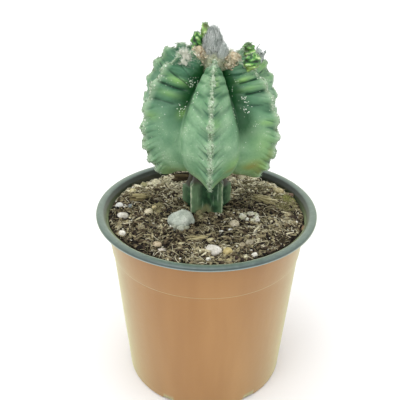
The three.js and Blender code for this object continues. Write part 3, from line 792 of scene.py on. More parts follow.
def stone_material(name, stops, size_mm, pits_mm):
    """Rock with mottling of a size in mm, and pits of another whose middles are painted darker as painted
    shade.
    """
    material, tree = material_tree(name)
    place = object_place(tree)
    colour = ramp(tree, noise(tree, place, size_mm, 5.0, 0.6), stops)
    # painted shade: the middle of each pit is darkened
    wall = rescaled(tree, cells(tree, place, pits_mm), high=0.45)
    painted_pit_shade = blend(tree, 0.45, colour, "#6a6256", blend_type="MULTIPLY")
    finish_surface(tree, Base_Color=blend(tree, wall, painted_pit_shade, colour), Roughness=0.85,
                   Normal=bumped(tree, wall, 0.45, pits_mm / 3), Specular_IOR_Level=0.3)
    return material


# %% Say what each stone is
STONES = [  # solid, what it is, darkest to palest colour, mottling and pits in mm, relief in mm
    ("pumice_large", "pumice", ("#969f93", "#b6beb0", "#d8ddd0"), 4.0, 0.9, 0.5),
    ("pumice_front", "pumice", ("#a8a394", "#cdc9bd", "#eae7df"), 2.5, 0.8, 0.5),
    ("pumice_left", "pumice", ("#a49f92", "#cbc7ba", "#e6e2d8"), 2.5, 0.8, 0.3),
    ("pumice_far_left", "pumice", ("#a9aaa4", "#d2d2cb", "#eeeeea"), 2.0, 0.7, 0.3),
    ("pumice_near_left", "pumice", ("#c0baa9", "#e2ddcf", "#f5f2e8"), 2.0, 0.7, 0.25),
    ("perlite_a", "perlite", ("#a8a48c", "#cdc9b4", "#eae7d6"), 1.5, 0.6, 0.6),
    ("perlite_b", "perlite", ("#a8a48c", "#d2cfbc", "#ecebdf"), 1.5, 0.6, 0.6),
    ("perlite_c", "perlite", ("#a6a494", "#cdcbbd", "#e9e8df"), 1.5, 0.6, 0.6),
    ("perlite_front", "perlite", ("#bfbcab", "#dfdccf", "#f3f1e8"), 1.5, 0.6, 0.5),
    ("pebble_round", "gravel", ("#8f7d4e", "#b7a772", "#d3c79a"), 3.0, 1.6, 0.1),
    ("pebble_tan", "gravel", ("#8d846b", "#b9b096", "#d9d1ba"), 2.5, 1.2, 0.25),
    ("pebble_wedge", "gravel", ("#8d7f52", "#b6aa80", "#d6cfae"), 2.5, 1.3, 0.3),
    ("pebble_cream", "gravel", ("#ada282", "#d3c9aa", "#efe8d2"), 2.0, 1.0, 0.35),
    ("pebble_beige", "gravel", ("#807862", "#a79f88", "#c6bea8"), 2.0, 1.2, 0.2),
    ("pebble_ochre", "gravel", ("#a59a6c", "#c7bd92", "#e3dbb9"), 2.0, 1.4, 0.12),
    ("pebble_lime", "gravel", ("#77744e", "#a39f78", "#c6c2a0"), 2.0, 1.0, 0.3),
    ("pebble_orange", "gravel", ("#857358", "#b0a083", "#cfc2a6"), 2.0, 1.2, 0.2),
]
for number, (node, kind, colours, mottle_mm, pits_mm, relief_mm) in enumerate(STONES):
    stops = list(zip((0.3, 0.5, 0.72), colours))
    rock = stone_material(f"{kind}_of_{node}", stops, mottle_mm, pits_mm)
    levels, fill = (4, 1.14) if node == "pumice_large" else (3, 1.06)
    stone = bpy.data.objects.new("stone_" + node, refined(node, levels, fill, relief_mm, number + 40))
    place_piece(stone, rock, node)

# %% [markdown]
# ## Bark
# Pine bark splits along its grain into slivers that stay together at one end. A chip is therefore a
# bundle of thin blades laid side by side and over each other, each a bit shorter or longer than the
# next, inside the box of its solid. Fine fibre hangs off the torn ends.

# %% Split the bark
BARK = [  # solid, centre in mm, length, width, height, turn, tip and tones
    ("bark_right", (33.0, 11.6), 19.0, 6.2, 4.2, -38, 4, (0.58, 1.0)),
    ("bark_left", (-38.2, 11.6), 12.8, 6.4, 4.8, 14, -3, (0.22, 0.75)),
    ("bark_front", (-4.8, -29.6), 11.8, 4.0, 2.6, 6, 0, (0.55, 1.0)),
    ("bark_rim", (38.6, -31.6), 6.0, 3.4, 3.0, 55, 0, (0.0, 0.3)),
    # bark_back has the darkest tones: a dark chip, made darker still as painted shade where it lies under
    # the head behind the stock
    ("bark_back", (-13.8, 37.4), 17.0, 6.0, 8.4, 4, 2, (0.0, 0.34)),
]
BARK_TONES = [(0.0, "#211e15"), (0.25, "#4b412d"), (0.5, "#7a6f4d"), (0.75, "#a69c74"), (1.0, "#d2c9a2")]
pine_bark = toned_material("split_pine_bark", BARK_TONES, 1.6, bump=0.8)
blade_shape = lump(12, 2, 0.2)
BARK_HAIRS, HAIR_POINTS, BARK_HAIR_RADIUS = 26, 5, 0.09


def turned(axis, degrees):
    """The frame of a turn about an axis."""
    return np.array(Matrix.Rotation(math.radians(degrees), 3, axis))


for node, (x, y), length, width, height, turn, tip, tones in BARK:
    size, count = np.array([length, width, height]), int(10 + length)
    across = random.uniform(-0.34, 0.34, count)
    stacked = random.uniform(0.0, 0.72, count) * (1 - 0.5 * (2 * across) ** 2) - 0.1
    places = size * vectors(random.normal(0, 0.07, count), across, stacked)
    shares = [random.uniform(low, high, count) for low, high in ((0.45, 0.8), (0.16, 0.34), (0.16, 0.3))]
    leans = [turned("Z", a) @ turned("Y", b) for a, b in random.normal(0, 5, (count, 2))]
    chips = copies(blade_shape, np.stack(leans) * (size * vectors(*shares))[:, None], places)
    ends = np.array([-1, 1])[random.integers(0, 2, BARK_HAIRS)]
    torn = [random.uniform(low, high, BARK_HAIRS) for low, high in ((0.2, 0.4), (-0.3, 0.3), (0.0, 0.6))]
    way = unit(vectors(ends, random.normal(0, 0.5, BARK_HAIRS), random.normal(0, 0.25, BARK_HAIRS)))
    reach = np.linspace(0, 1, HAIR_POINTS) * random.uniform(1, 2.6, (BARK_HAIRS, 1))
    hair_paths = (size * vectors(ends * torn[0], *torn[1:]))[:, None] + way[:, None] * reach[..., None]
    hair = strands(hair_paths, np.full(hair_paths.shape[:2], BARK_HAIR_RADIUS))
    middle = np.array([x, y, soil_height(x, y) + 0.5])
    chip_frame = turned("Z", turn) @ turned("Y", -tip)
    chips, hair = ((middle + points @ chip_frame.T, faces) for points, faces in (chips, hair))
    make_toned_piece("split_" + node, pine_bark, node, "bark", (chips, random.uniform(*tones, count)),
                     (hair, random.uniform(tones[1] - 0.1, tones[1], BARK_HAIRS)))

# %% [markdown]
# ## Odd bits
# Between the stones lie bits of every colour: chips of stone and wood, a pale root, crumbs of perlite,
# and patches of moss and matted fibre at the wall. Each bit carries its own colour as three layers, one
# for red, green and blue, so that one material with a little mottling does for all.

# %% Lay out the odd bits
BITS = [  # x and y, length, width and height in mm, turn, colour
    (-42.6, 3.6, 4.8, 3.2, 2.0, 80, "#868d8c"), (18.3, -35.1, 5.0, 3.4, 2.6, 70, "#a0957a"),
    (11.7, -47.7, 5.8, 3.2, 1.6, 5, "#a59a74"), (15.6, -45.9, 4.2, 2.8, 1.8, -25, "#4a3a35"),
    (1.4, -48.4, 3.2, 2.8, 2.4, 0, "#e6e3d4"), (8.0, -21.1, 3.0, 2.2, 1.8, 15, "#dcdcd2"),
    (12.7, -20.0, 3.0, 2.4, 1.8, -30, "#dfe0db"), (10.6, -12.4, 2.4, 2.0, 1.6, 0, "#e0dccb"),
    (-21.8, -41.2, 4.6, 2.8, 2.2, 10, "#cfc6b8"), (49.0, 20.0, 4.0, 3.4, 2.4, 20, "#7d6857"),
    (51.0, -17.0, 5.4, 2.0, 1.8, 75, "#8d765a"), (-30.9, -2.3, 3.4, 3.0, 2.4, 10, "#e3d6b4"),
    (-29.1, 2.3, 3.4, 2.6, 2.2, 60, "#d2c396"), (-50.2, 3.9, 2.0, 1.6, 1.4, 0, "#dddccf"),
    (-47.5, 2.8, 2.2, 1.8, 1.4, 30, "#e2e1d6"), (-45.1, 1.8, 2.6, 2.0, 1.6, 60, "#d6d6cb"),
    (-2.6, -7.2, 5.4, 3.4, 2.6, 75, "#a59e78"), (-4.2, -3.6, 4.6, 3.0, 4.0, 60, "#8f8a66"),
    (0.2, -9.4, 3.8, 2.2, 1.6, 20, "#a3987a"), (28.5, -36.5, 3.0, 2.4, 2.0, 0, "#c9c0a4"),
    (34.5, -8.5, 3.2, 2.4, 1.8, 40, "#b9ad88"), (-33.0, -20.0, 3.0, 2.4, 2.0, 25, "#b3a988"),
    (-12.0, -33.5, 5.0, 3.0, 1.8, -15, "#c9c09a"), (2.0, -30.5, 4.4, 2.8, 1.8, 20, "#c4ba92"),
    (38.0, 27.0, 3.4, 2.6, 2.2, 20, "#aaa072"), (-46.0, 15.0, 4.0, 2.8, 2.0, 20, "#6a5f49"),
    (-16.7, -19.4, 3.8, 2.8, 3.0, 10, "#a9ac9a"), (-13.5, -20.3, 4.2, 3.0, 3.2, -15, "#b5b8a6"),
    (-10.4, -19.2, 3.6, 2.6, 2.8, 40, "#9fa18c"),
]
PERLITE_RING = [(23.1 + 4.4 * math.cos(a), -7.2 + 3.8 * math.sin(a)) for a in np.arange(-1.2, 3.5, 0.47)]
PERLITE_RING.append((22.0, -9.4))
BITS += [(x, y, 2.6, 2.2, 3.0, 40 * i, ("#d6d6bd", "#c2c2a2", "#e6e7d8")[i % 3])
         for i, (x, y) in enumerate(PERLITE_RING)]
MATS = [  # centre and half widths in mm, fibres, colour
    (-26.9, 2.3, 3.4, 6.0, 120, "#b3aa7c"), (-25.1, 38.4, 2.8, 3.0, 90, "#b5b18f"),
    (44.0, 9.0, 6.5, 9.0, 420, "#969064"), (47.0, 14.0, 3.4, 4.2, 200, "#9da05c"),
    (28.0, 30.0, 8.0, 6.0, 160, "#8a8260"), (-38.0, 20.0, 9.0, 5.0, 160, "#857c5c"),
]
ROOT_LINE = [(34.4, -19.3), (37.6, -22.2), (40.5, -26.0), (43.3, -27.9)]

# %% Shape the odd bits
BIT_SHAPES, MAT_REACH, MAT_RADIUS, ROOT_RADIUS = 5, 52.6, 0.15, 0.4
spots = np.array([(x, y, 0.0) for x, y, *_ in BITS])
sizes = np.array([b[2:5] for b in BITS])
spots[:, 2] = ground_height(spots) + 0.22 * sizes[:, 2]
bit_frames = np.stack([turned("Z", b[5]) for b in BITS]) * sizes[:, None]
odd_shapes = [(copies(lump(70 + i % BIT_SHAPES, 2, 0.4), bit_frames[i:i + 1], spots[i:i + 1]), bit[6])
              for i, bit in enumerate(BITS)]
share = np.linspace(-0.5, 0.5, HAIR_POINTS)
for x, y, half_x, half_y, count, mat_colour in MATS:
    way = random.uniform(0, 2 * np.pi, (count, 1))
    far = np.sqrt(random.uniform(0, 1, (count, 1)))
    start = np.hstack([x + half_x * far * np.cos(way), y + half_y * far * np.sin(way), np.zeros((count, 1))])
    run = level_way(random.uniform(0, 2 * np.pi, count)) * random.uniform(1.2, 3.4, (count, 1))
    mat_paths = start[:, None] + run[:, None] * share[:, None]
    radius = np.linalg.norm(mat_paths[..., :2], axis=-1, keepdims=True)
    mat_paths[..., :2] *= np.minimum(1, MAT_REACH / radius)
    lift = random.uniform(0.2, 1.0, (count, 1)) + 0.7 * (0.25 - share ** 2)
    mat_paths[..., 2] = ground_height(start)[:, None] + lift
    odd_shapes.append((strands(mat_paths, np.full((count, HAIR_POINTS), MAT_RADIUS)), mat_colour))
root_path = np.array([(x, y, 0.0) for x, y in ROOT_LINE])
root_path[:, 2] = ground_height(root_path) + 0.5
pale_root = strands(root_path[None], np.full((1, len(ROOT_LINE)), ROOT_RADIUS), 6)
odd_shapes.append((pale_root, "#c9bd9c"))
own_colours = [linear(hex_colour)[:3] for _, hex_colour in odd_shapes]
by_point = np.repeat(own_colours, [len(shape[0]) for shape, _ in odd_shapes], axis=0)

# %% Stone, wood and moss
odd_matter, tree = material_tree("stone_wood_and_moss")
mottle = noise(tree, object_place(tree), 0.9091, 4.0, 0.65)
shade = rescaled(tree, mottle, 0.3, 0.7, 0.45, 1.25)
own = add(tree, "CombineColor", {name.title(): layer_value(tree, name) for name in ("red", "green", "blue")})
mottled = add(tree, "VectorMath", {0: own.outputs["Color"], "Scale": shade}, operation="SCALE")
finish_surface(tree, Base_Color=mottled.outputs["Vector"], Roughness=0.9, Specular_IOR_Level=0.25,
               Normal=bumped(tree, mottle, 0.7, 0.4))
make_piece("odd_bits", joined(*(shape for shape, _ in odd_shapes)), odd_matter, "soil", "potting_mix",
           **dict(zip(("red", "green", "blue"), by_point.T)))

# %% [markdown]
# ## Rootstock
# The head was grafted on a young columnar cactus with five thin ribs, which were cut back aslant so
# that the graft dries well. Its skin is dark blue-green, the rib edges are worn pale, and in front the
# foot has turned to tan cork. The form is a five-pointed ring of points at each height.

# %% Grow the rootstock
STOCK = {"crest": 14.2, "valley": 7.6, "union": 8.4, "foot": 72.0, "top": 128.7}
STOCK_RIBS, STOCK_FIRST_TURN = 5, 36
STOCK_SHOULDERS = np.array([120.5, 114, 114, 112.5, 119])
STOCK_ROOT = {"height": [72, 78, 90, 102], "share": [0.5, 0.82, 0.95, 1.0]}
STOCK_COLUMNS, STOCK_KEEL, AREOLE_STEP = 250, 0.06, 5.2
HEAD_PLACE = np.array([1.5, 8.0, 124.0])


def stock_point(turn, height):
    """A point of the stock's skin, how near it is to a rib's edge, and where that rib was cut back."""
    order = (turn - STOCK_FIRST_TURN) * STOCK_RIBS / 360
    ribness = np.abs(order % 1 - 0.5) * 2
    keel = 1 - np.sqrt((1 - ribness) ** 2 + STOCK_KEEL ** 2) + STOCK_KEEL
    shoulder = STOCK_SHOULDERS[np.round(order).astype(int) % STOCK_RIBS]
    cut = np.clip((height - shoulder) / (STOCK["top"] - shoulder), 0, 1) ** 0.4
    crest = STOCK["crest"] + (STOCK["union"] - STOCK["crest"]) * cut
    pads = 0.28 * np.maximum(0, np.cos(2 * np.pi * height / AREOLE_STEP)) ** 3 * smooth_step(ribness, 0.8, 1)
    radius = STOCK["valley"] + (crest - STOCK["valley"]) * keel ** 1.3 + pads
    radius = radius * np.interp(height, STOCK_ROOT["height"], STOCK_ROOT["share"])
    point = radius[..., None] * facing(turn)
    point[..., :2] += STOCK_PLACE
    point[..., 2] = height
    return point, ribness, shoulder


stock_turns, stock_heights = np.meshgrid(
    STOCK_FIRST_TURN + round_turns(STOCK_COLUMNS),
    np.concatenate([np.linspace(STOCK["foot"], 98, 14), np.linspace(98.4, STOCK["top"], 90)]),
)
stock_rings, ribness, shoulder = stock_point(stock_turns, stock_heights)
flat_rings = stock_rings.reshape(-1, 3)
dents = 0.22 * grain(flat_rings, 6.0, 21) + 0.1 * grain(flat_rings, 1.5, 22)
stock_rings = stock_rings + dents.reshape(ribness.shape)[..., None] * facing(stock_turns)
stock_shape = ringed_skin(stock_rings, [*STOCK_PLACE, STOCK["foot"]], [*STOCK_PLACE, STOCK["top"]])

# %% [markdown]
# Cactus skin is wax over green flesh: it has a broad soft sheen, and a little light goes in and comes out
# again nearby. Three layers steer the colours here: `rib` for the pale bloom and the worn edges, and also
# for painted light on the left-front faces and painted shade on the front-right ones; `cork` for the woody
# foot; and one for where the ribs were cut back, a dark scar that also serves as painted shade under the
# head.

# %% Waxed skin of the rootstock
stock_skin, tree = material_tree("waxed_skin_of_the_stock")
place = object_place(tree)
blotch = noise(tree, place, 3.8462, 5.0)
scratch = noise(tree, place, 1.4286, 4.0, stretch=(1, 1, 0.15714))
colour = ramp(tree, blotch, [(0.3, "#183620"), (0.5, "#2e5536"), (0.7, "#527a50")])
# the rib layer also carries painted light on the left-front faces and painted shade on the front-right ones
rib_edge = math_of(tree, "ADD", layer_value(tree, "rib"), rescaled(tree, blotch, to_low=-0.12, to_high=0.12))
for amount, hex_colour in (
    (rescaled(tree, scratch, 0.6, 0.72), "#8fa98c"),
    (rescaled(tree, rib_edge, 0.4, 0.95, 0.0, 0.7), "#7c9a72"),
    (rescaled(tree, rib_edge, 0.93, 1.0), "#c3cdae"),
    (layer_value(tree, "cork"), "#8c9068"), (layer_value(tree, "scar"), "#3c3825"),
):
    colour = blend(tree, amount, colour, hex_colour)
finish_surface(tree, Base_Color=colour, Roughness=0.5, Normal=bumped(tree, blotch, 0.35, 0.5),
               Subsurface_Weight=0.1, Subsurface_Radius=(0.0006, 0.0012, 0.0004), Subsurface_Scale=1.0)


def wrapped(turn, whole=1.0):
    """A turn brought to within half of the whole, either way."""
    return (turn + whole / 2) % whole - whole / 2


def near_turn(turn, width):
    """How near each point of the stock is to a turn, from 0 to 1."""
    return np.exp(-(wrapped(stock_turns - turn, 360) / width) ** 2)


def with_poles(values, lower=0.0, upper=0.0):
    """Values by point of the rings, and then those of the two poles."""
    return np.append(values.ravel(), [lower, upper])


wobble = grain(flat_rings, 5.0, 23).reshape(ribness.shape)
low_down = 1 - smooth_step(stock_heights + 2.4 * wobble, 102.5, 107.5)
cork = low_down * smooth_step(near_turn(-5, 20), 0.1, 0.6)
# partly a real cut scar and partly painted shade: above where the ribs were cut back, under the head, the
# stock is darkened
scar = smooth_step(stock_heights + wobble, shoulder - 1.0, shoulder + 2.0)
# painted light and shade: the faces towards the left front are made paler as painted light, and those at the
# front right darker as painted shade
painted_light_and_shade = 0.44 * near_turn(312, 26) - 0.5 * near_turn(14, 18) * (1 - smooth_step(ribness, 0.85, 1))
rib_colour_with_painted_light = np.minimum(ribness + painted_light_and_shade, np.maximum(ribness, 0.84))
make_piece("rootstock_stem", stock_shape, stock_skin, "rootstock", "stock_skin",
           rib=with_poles(rib_colour_with_painted_light), cork=with_poles(cork), scar=with_poles(scar))

# %% [markdown]
# ## Head
# A bishop's cap has a few broad ribs, each like the keel of a boat turned outwards. The frame's head is
# drawn by two lines, one down a crest and one down a valley, and a rule that blends them across each
# rib. The finer head keeps those lines and adds what growth left in the flesh: bulges and deep creases
# on the shoulders, herringbone wrinkles that slant down to each crest, and scallops at the felt pads.

# %% The lines of the head
CREST_LINE = np.array([
    [8, 5], [15.5, 4.4], [24.5, 2.2], [30.4, 4], [35.2, 10.8], [38.5, 19.4], [39.6, 28.5],
    [38.5, 38], [34.8, 48], [29.4, 55.8], [22.5, 60.8], [15, 62.6], [8, 61.4], [3, 59.6],
])
VALLEY_LINE = np.array([
    [8, 5], [13, 5.6], [18.6, 7], [24, 10.4], [27.8, 15.8], [29.6, 22.6], [28.8, 30.4],
    [25.4, 37.6], [20.2, 43.6], [15.2, 48.4], [10.8, 52.2], [8, 55.2], [5.4, 57.4], [2.4, 58.6],
])
RIBS = np.array([  # turn, reach, lift of the shoulder, hang of the hem, arch of the hem on the faces
    (0, 1.0, 0.6, -1.8, 2.2), (60, 0.98, -1.8, -0.6, 0.4), (120, 1.05, 0.6, 0.0, 1.5),
    (180, 1.02, 1.5, 0.4, 1.5), (240, 1.06, 3.0, 0.6, 1.5), (300, 0.99, 2.6, 0.6, 2.2),
])
HEM_STEP, SHOULDER_STEP = 3, 12
UNION_RISE, CROWN_HEIGHT, CROWN_SHIFT = 5.0, 58.6, 1.6
HEAD_KEEL = 0.035
AREOLES_A_RIB, AREOLES_A_LOBE = 22, 2.5
AREOLE_PITCH = (SHOULDER_STEP - HEM_STEP) / AREOLES_A_RIB


def between(value, low, risen, falling, high):
    """From 0 up to 1 and back to 0 along a value."""
    return smooth_step(value, low, risen) * (1 - smooth_step(value, falling, high))


def along_line(line, step):
    """A smooth curve through the points of a line, read at a step counted in points."""
    step = np.clip(step, 0, len(line) - 1 - 1e-9)
    start = np.floor(step).astype(int)
    t = (step - start)[..., None]
    p0, p1 = line[np.maximum(start - 1, 0)], line[start]
    p2, p3 = line[np.minimum(start + 1, len(line) - 1)], line[np.minimum(start + 2, len(line) - 1)]
    v1, v2 = (p2 - p0) / 2, (p3 - p1) / 2
    return (2 * p1 - 2 * p2 + v1 + v2) * t ** 3 + (3 * p2 - 3 * p1 - 2 * v1 - v2) * t ** 2 + v1 * t + p1


def head_form(step, rib, place):
    """The plain form, by the step up the lines, the rib, and the place across it, 0 at its crest."""
    across = np.sqrt(place ** 2 + HEAD_KEEL ** 2) - HEAD_KEEL
    across = across / (np.sqrt(1 + HEAD_KEEL ** 2) - HEAD_KEEL)
    share = 1 - across - 0.4 * np.sin(2 * np.pi * across) / (2 * np.pi)
    valley, crest = along_line(VALLEY_LINE, step), along_line(CREST_LINE, step)
    radius, height = np.moveaxis(valley + (crest - valley) * share[..., None], -1, 0)
    neighbour = (rib + np.sign(place).astype(int)) % len(RIBS)
    towards = (RIBS[neighbour] - RIBS[rib]) * np.abs(place)[..., None] / 2
    _, reach, lift, hem, arch = np.moveaxis(RIBS[rib] + towards, -1, 0)
    hem = hem + arch * np.sin(np.pi * np.minimum(1, np.abs(place)))
    radius = radius * (1 + (reach - 1) * between(step, 1, 5, 10, 13))
    point = radius[..., None] * facing(RIBS[rib, 0] + place * 30)
    point[..., 0] += CROWN_SHIFT * smooth_step(step, 7, 12)
    point[..., 2] = height + lift * (height / CROWN_HEIGHT) ** 2 + hem * between(step, 0.5, 3, 3, 7)
    return point


def head_normal(step, rib, place):
    """The way out of the plain form, evened over a tenth of a rib so that crests stay whole."""
    up, aside = 0.02, 0.11
    up_line = head_form(step + up, rib, place) - head_form(step - up, rib, place)
    inside = np.clip(place, aside - 1, 1 - aside)
    round_rib = head_form(step, rib, inside + aside) - head_form(step, rib, inside - aside)
    return unit(np.cross(round_rib, up_line))


# %% Bulges, creases and wrinkles
BULGES = [  # rib, step, place, half length across, half height in steps, rise in mm
    (5, 8.98, 0.42, 0.34, 0.30, 1.0), (5, 8.15, 0.42, 0.36, 0.24, 0.8), (5, 9.7, 0.5, 0.3, 0.26, 0.7),
    (5, 6.9, 0.3, 0.3, 0.28, 0.45), (1, 9.55, -0.42, 0.3, 0.30, 0.9), (1, 8.85, -0.40, 0.34, 0.28, 1.0),
    (1, 6.8, -0.24, 0.26, 0.24, 0.5), (0, 9.6, 0.35, 0.3, 0.3, 0.35), (0, 9.0, -0.4, 0.3, 0.3, 0.35),
    (4, 9.4, 0.3, 0.4, 0.35, 0.7), (2, 9.2, -0.3, 0.35, 0.3, 0.7), (3, 9.0, 0.3, 0.35, 0.3, 0.7),
]
CREASES = [  # rib, step at the crest, slant in steps a rib width, from place, to place, depth in mm
    (5, 8.56, 0.08, 0.08, 0.8, 0.9), (5, 9.4, -0.5, 0.1, 0.85, 0.7), (5, 7.75, -0.1, 0.1, 0.7, 0.5),
    (1, 8.5, -0.15, -0.6, -0.06, 0.9), (1, 9.3, -0.2, -0.62, -0.06, 0.9), (1, 7.7, -0.3, -0.7, -0.2, 0.4),
    (4, 8.7, -0.2, 0.08, 0.8, 0.7), (2, 8.6, -0.2, -0.8, -0.08, 0.7), (3, 8.4, -0.2, -0.8, 0.8, 0.5),
    (5, 10.2, -0.9, 0.1, 0.9, 0.5), (1, 10.0, -0.5, -0.9, -0.08, 0.4),
]


def marks_on_head(marks, step, rib, place):
    """The sum of soft round marks at each point of the head."""
    total = np.zeros_like(step)
    for its_rib, its_step, its_place, length, height, strength in marks:
        near = ((place - its_place) / length) ** 2 + ((step - its_step) / height) ** 2
        total += strength * np.exp(-near) * (rib == its_rib)
    return total


def creasing(step, rib, place, wander, width):
    """How deep the creases cut at each point, in mm, for creases of this half width in steps."""
    total = np.zeros_like(step)
    for its_rib, its_step, slant, start, end, depth in CREASES:
        line = its_step + slant * place + 0.06 * wander
        inside = between(place, start - 0.04, start + 0.08, end - 0.1, end + 0.06)
        total += depth * np.exp(-((step - line) / width) ** 2) * inside * (rib == its_rib)
    return total


def wandering(step, rib, place):
    """A slow noise over the head that keeps its lines from running straight."""
    return grain(head_form(step, rib, place).reshape(-1, 3), 14.0, 61).reshape(step.shape)


def wrinkling(step, place, wander, sharpness):
    """Herringbone lines that slant down to each crest, from 0 to 1; sharper ones are thinner."""
    out = np.abs(place)
    slanted = (step - HEM_STEP) / AREOLE_PITCH - 2.4 * out + 0.5 * wander
    return np.abs(np.cos(np.pi * slanted)) ** sharpness * np.exp(-((out - 0.14) / 0.2) ** 2)

# %% [markdown]
# All that is added up into one relief, in millimetres, which is laid on along the way out of the form.
# The columns of the mesh lie closer at the crests, where the felt pads press scallops into the edge.

# %% Grow the head
def head_relief(step, rib, place):
    """How far the flesh stands out of the plain form, in mm."""
    out = np.abs(place)
    flat = head_form(step, rib, place).reshape(-1, 3)
    wander = wandering(step, rib, place)
    phase = (step - HEM_STEP) / AREOLE_PITCH
    herringbone = -0.42 * wrinkling(step, place, wander, 5)
    scallop = 0.22 * np.cos(2 * np.pi * phase) * np.exp(-(out / 0.1) ** 2)
    lobe_phase = phase / AREOLES_A_LOBE + rib / len(RIBS) + 0.1 * wander
    lobe = 0.95 * np.cos(2 * np.pi * lobe_phase) * np.exp(-(out / 0.2) ** 2)
    relief = (herringbone + scallop + lobe) * between(step, 2.8, 3.6, 11, 12.4)
    along = step * 9 - 5 * out + 1.6 * wander
    furrow = np.abs(np.cos(np.pi * along / 7.4)) ** 6 * np.sin(np.pi * np.minimum(1, out * 1.1))
    relief -= 0.75 * furrow * between(step, 5.5, 8.5, 10, 11.5)
    relief += marks_on_head(BULGES, step, rib, place) - creasing(step, rib, place, wander, 0.07)
    return relief + 0.3 * wander + 0.12 * grain(flat, 3.0, 62).reshape(step.shape)


ROWS, COLUMNS_A_RIB = 420, 64
spread = np.arange(COLUMNS_A_RIB) * 2 / COLUMNS_A_RIB - 1
column_place = spread * (0.5 + 0.5 * np.abs(spread))
steps = np.concatenate([np.linspace(0.05, 2.6, 30), np.linspace(2.65, 12.95, ROWS)])
head_step, column = np.meshgrid(steps, np.arange(len(RIBS) * COLUMNS_A_RIB), indexing="ij")
head_rib = column // COLUMNS_A_RIB
head_place = column_place[column % COLUMNS_A_RIB]
head_rings = head_form(head_step, head_rib, head_place)
relief = head_relief(head_step, head_rib, head_place)
head_rings = head_rings + relief[..., None] * head_normal(head_step, head_rib, head_place) + HEAD_PLACE
head_poles = HEAD_PLACE + [[0, 0, UNION_RISE], [CROWN_SHIFT, 0, CROWN_HEIGHT]]
head_shape = ringed_skin(head_rings, *head_poles)
print("head skin has", len(head_shape[0]), "points")

# %% [markdown]
# The skin is grey-green where its wax is whole and olive to rust where it scorched. The valleys are painted
# deep green as painted shade, and the skin darkens towards the crown, from lower down on the side ribs,
# partly young growth and partly painted shade. The bulges that face the light are painted yellow-green,
# partly yellowed skin and partly a painted highlight. Creases, wrinkles and sunken relief hold dark painted
# shade. Each of these is a layer worked out from the same steps and places as the form, broken up by noise,
# so the colours follow the growth.

# %% Layers of colour on the head
STAINS_AND_HIGHLIGHTS = {  # rib, step, place, half length across, half height in steps, strength
    # partly yellowed skin and partly a painted highlight on the bulges that face the light
    "yellow_and_painted_highlight": [
        (5, 8.98, 0.42, 0.26, 0.22, 0.8), (5, 8.15, 0.42, 0.26, 0.18, 0.5), (1, 9.55, -0.4, 0.22, 0.2, 0.85),
        (1, 8.85, -0.38, 0.26, 0.18, 0.45), (1, 6.8, -0.24, 0.22, 0.16, 0.6), (5, 6.9, 0.12, 0.2, 0.22, 0.6),
        (0, 9.3, 0.12, 0.16, 0.5, 0.6), (0, 7.2, 0.1, 0.16, 0.4, 0.35), (1, 5.4, -0.35, 0.35, 0.9, 0.5),
        (5, 7.2, 0.93, 0.12, 0.3, 0.6), (4, 9.0, 0.05, 0.15, 0.5, 0.4), (2, 9.0, -0.1, 0.25, 1.0, 0.8),
        (3, 8.8, 0.3, 0.3, 0.3, 0.7), (0, 4.4, 0.75, 0.3, 0.5, 0.7), (1, 3.9, -0.4, 0.45, 0.6, 0.9),
    ],
    "scorch": [
        (1, 4.05, -0.48, 0.28, 0.42, 0.9), (1, 3.7, -0.62, 0.25, 0.3, 0.9), (1, 4.9, -0.12, 0.12, 0.5, 0.7),
        (0, 3.9, 0.62, 0.22, 0.26, 0.8), (1, 3.4, -0.15, 0.2, 0.35, 0.9), (2, 4.0, 0.4, 0.3, 0.3, 0.5),
        (4, 4.2, -0.5, 0.3, 0.3, 0.4),
    ],
}


head_at = (head_step, head_rib, head_place)
head_out = np.abs(head_place)
head_layers = {name: marks_on_head(stains, *head_at) for name, stains in STAINS_AND_HIGHLIGHTS.items()}
# painted shade: the valleys are darkened towards deep green, more deeply on one rib and from higher up in
# the left valley
from_place = np.where(head_rib == 0, 0.72, 0.34)
valley_depth = np.where(head_rib == 1, 1.25, 1.0)
left_valley = ((head_rib == 5) & (head_place > 0)) | ((head_rib == 0) & (head_place < 0))
head_layers["valley"] = valley_depth * smooth_step(head_out, from_place, 1.0) * np.where(
    left_valley, smooth_step(head_step, 5.8, 8.6), smooth_step(head_step, 5.0, 7.4))
band = np.array([0.08, 0.1, 0.1, 0.1, 0.13, 0.12])[head_rib]
band = band * (1 - 0.5 * smooth_step(head_step, 8.5, 10.5) * (head_rib > 0))
head_layers["crest"] = np.exp(-(head_out / band) ** 2) * smooth_step(head_step, 2.6, 3.2)
# darker green towards the crown, from lower down on the side ribs: partly young growth and partly painted
# shade
young_from = np.array([9.4, 4.6, 5.5, 5.5, 5.0, 4.0])[head_rib]
young_to = np.array([11.6, 10.0, 10.2, 10.2, 9.4, 8.8])[head_rib]
young_crest = np.array([0.0, 0.5, 0.45, 0.45, 0.9, 0.86])[head_rib]
head_layers["young_and_painted_shade"] = smooth_step(head_step, young_from, young_to) * (
    young_crest + (1 - young_crest) * smooth_step(head_out, 0.15, 0.5))
head_wander = wandering(*head_at)
head_layers["crease"] = creasing(*head_at, head_wander, 0.035)
in_places = grain(head_rings.reshape(-1, 3), 5.0, 63).reshape(head_step.shape)
head_layers["wrinkle"] = wrinkling(head_step, head_place, head_wander, 18) * smooth_step(
    head_out, 0.03, 0.09) * smooth_step(in_places, -0.35, 0.45) * smooth_step(head_step, 2.8, 3.6)
# painted shade: darker green wherever the relief sinks in
head_layers["groove"] = np.clip(-relief, 0, 1.2) / 1.2
head_layers["under"] = 1 - smooth_step(head_step, 2.4, 4.2)
for name, values in head_layers.items():
    head_layers[name] = with_poles(values, upper=float(name == "young_and_painted_shade"))

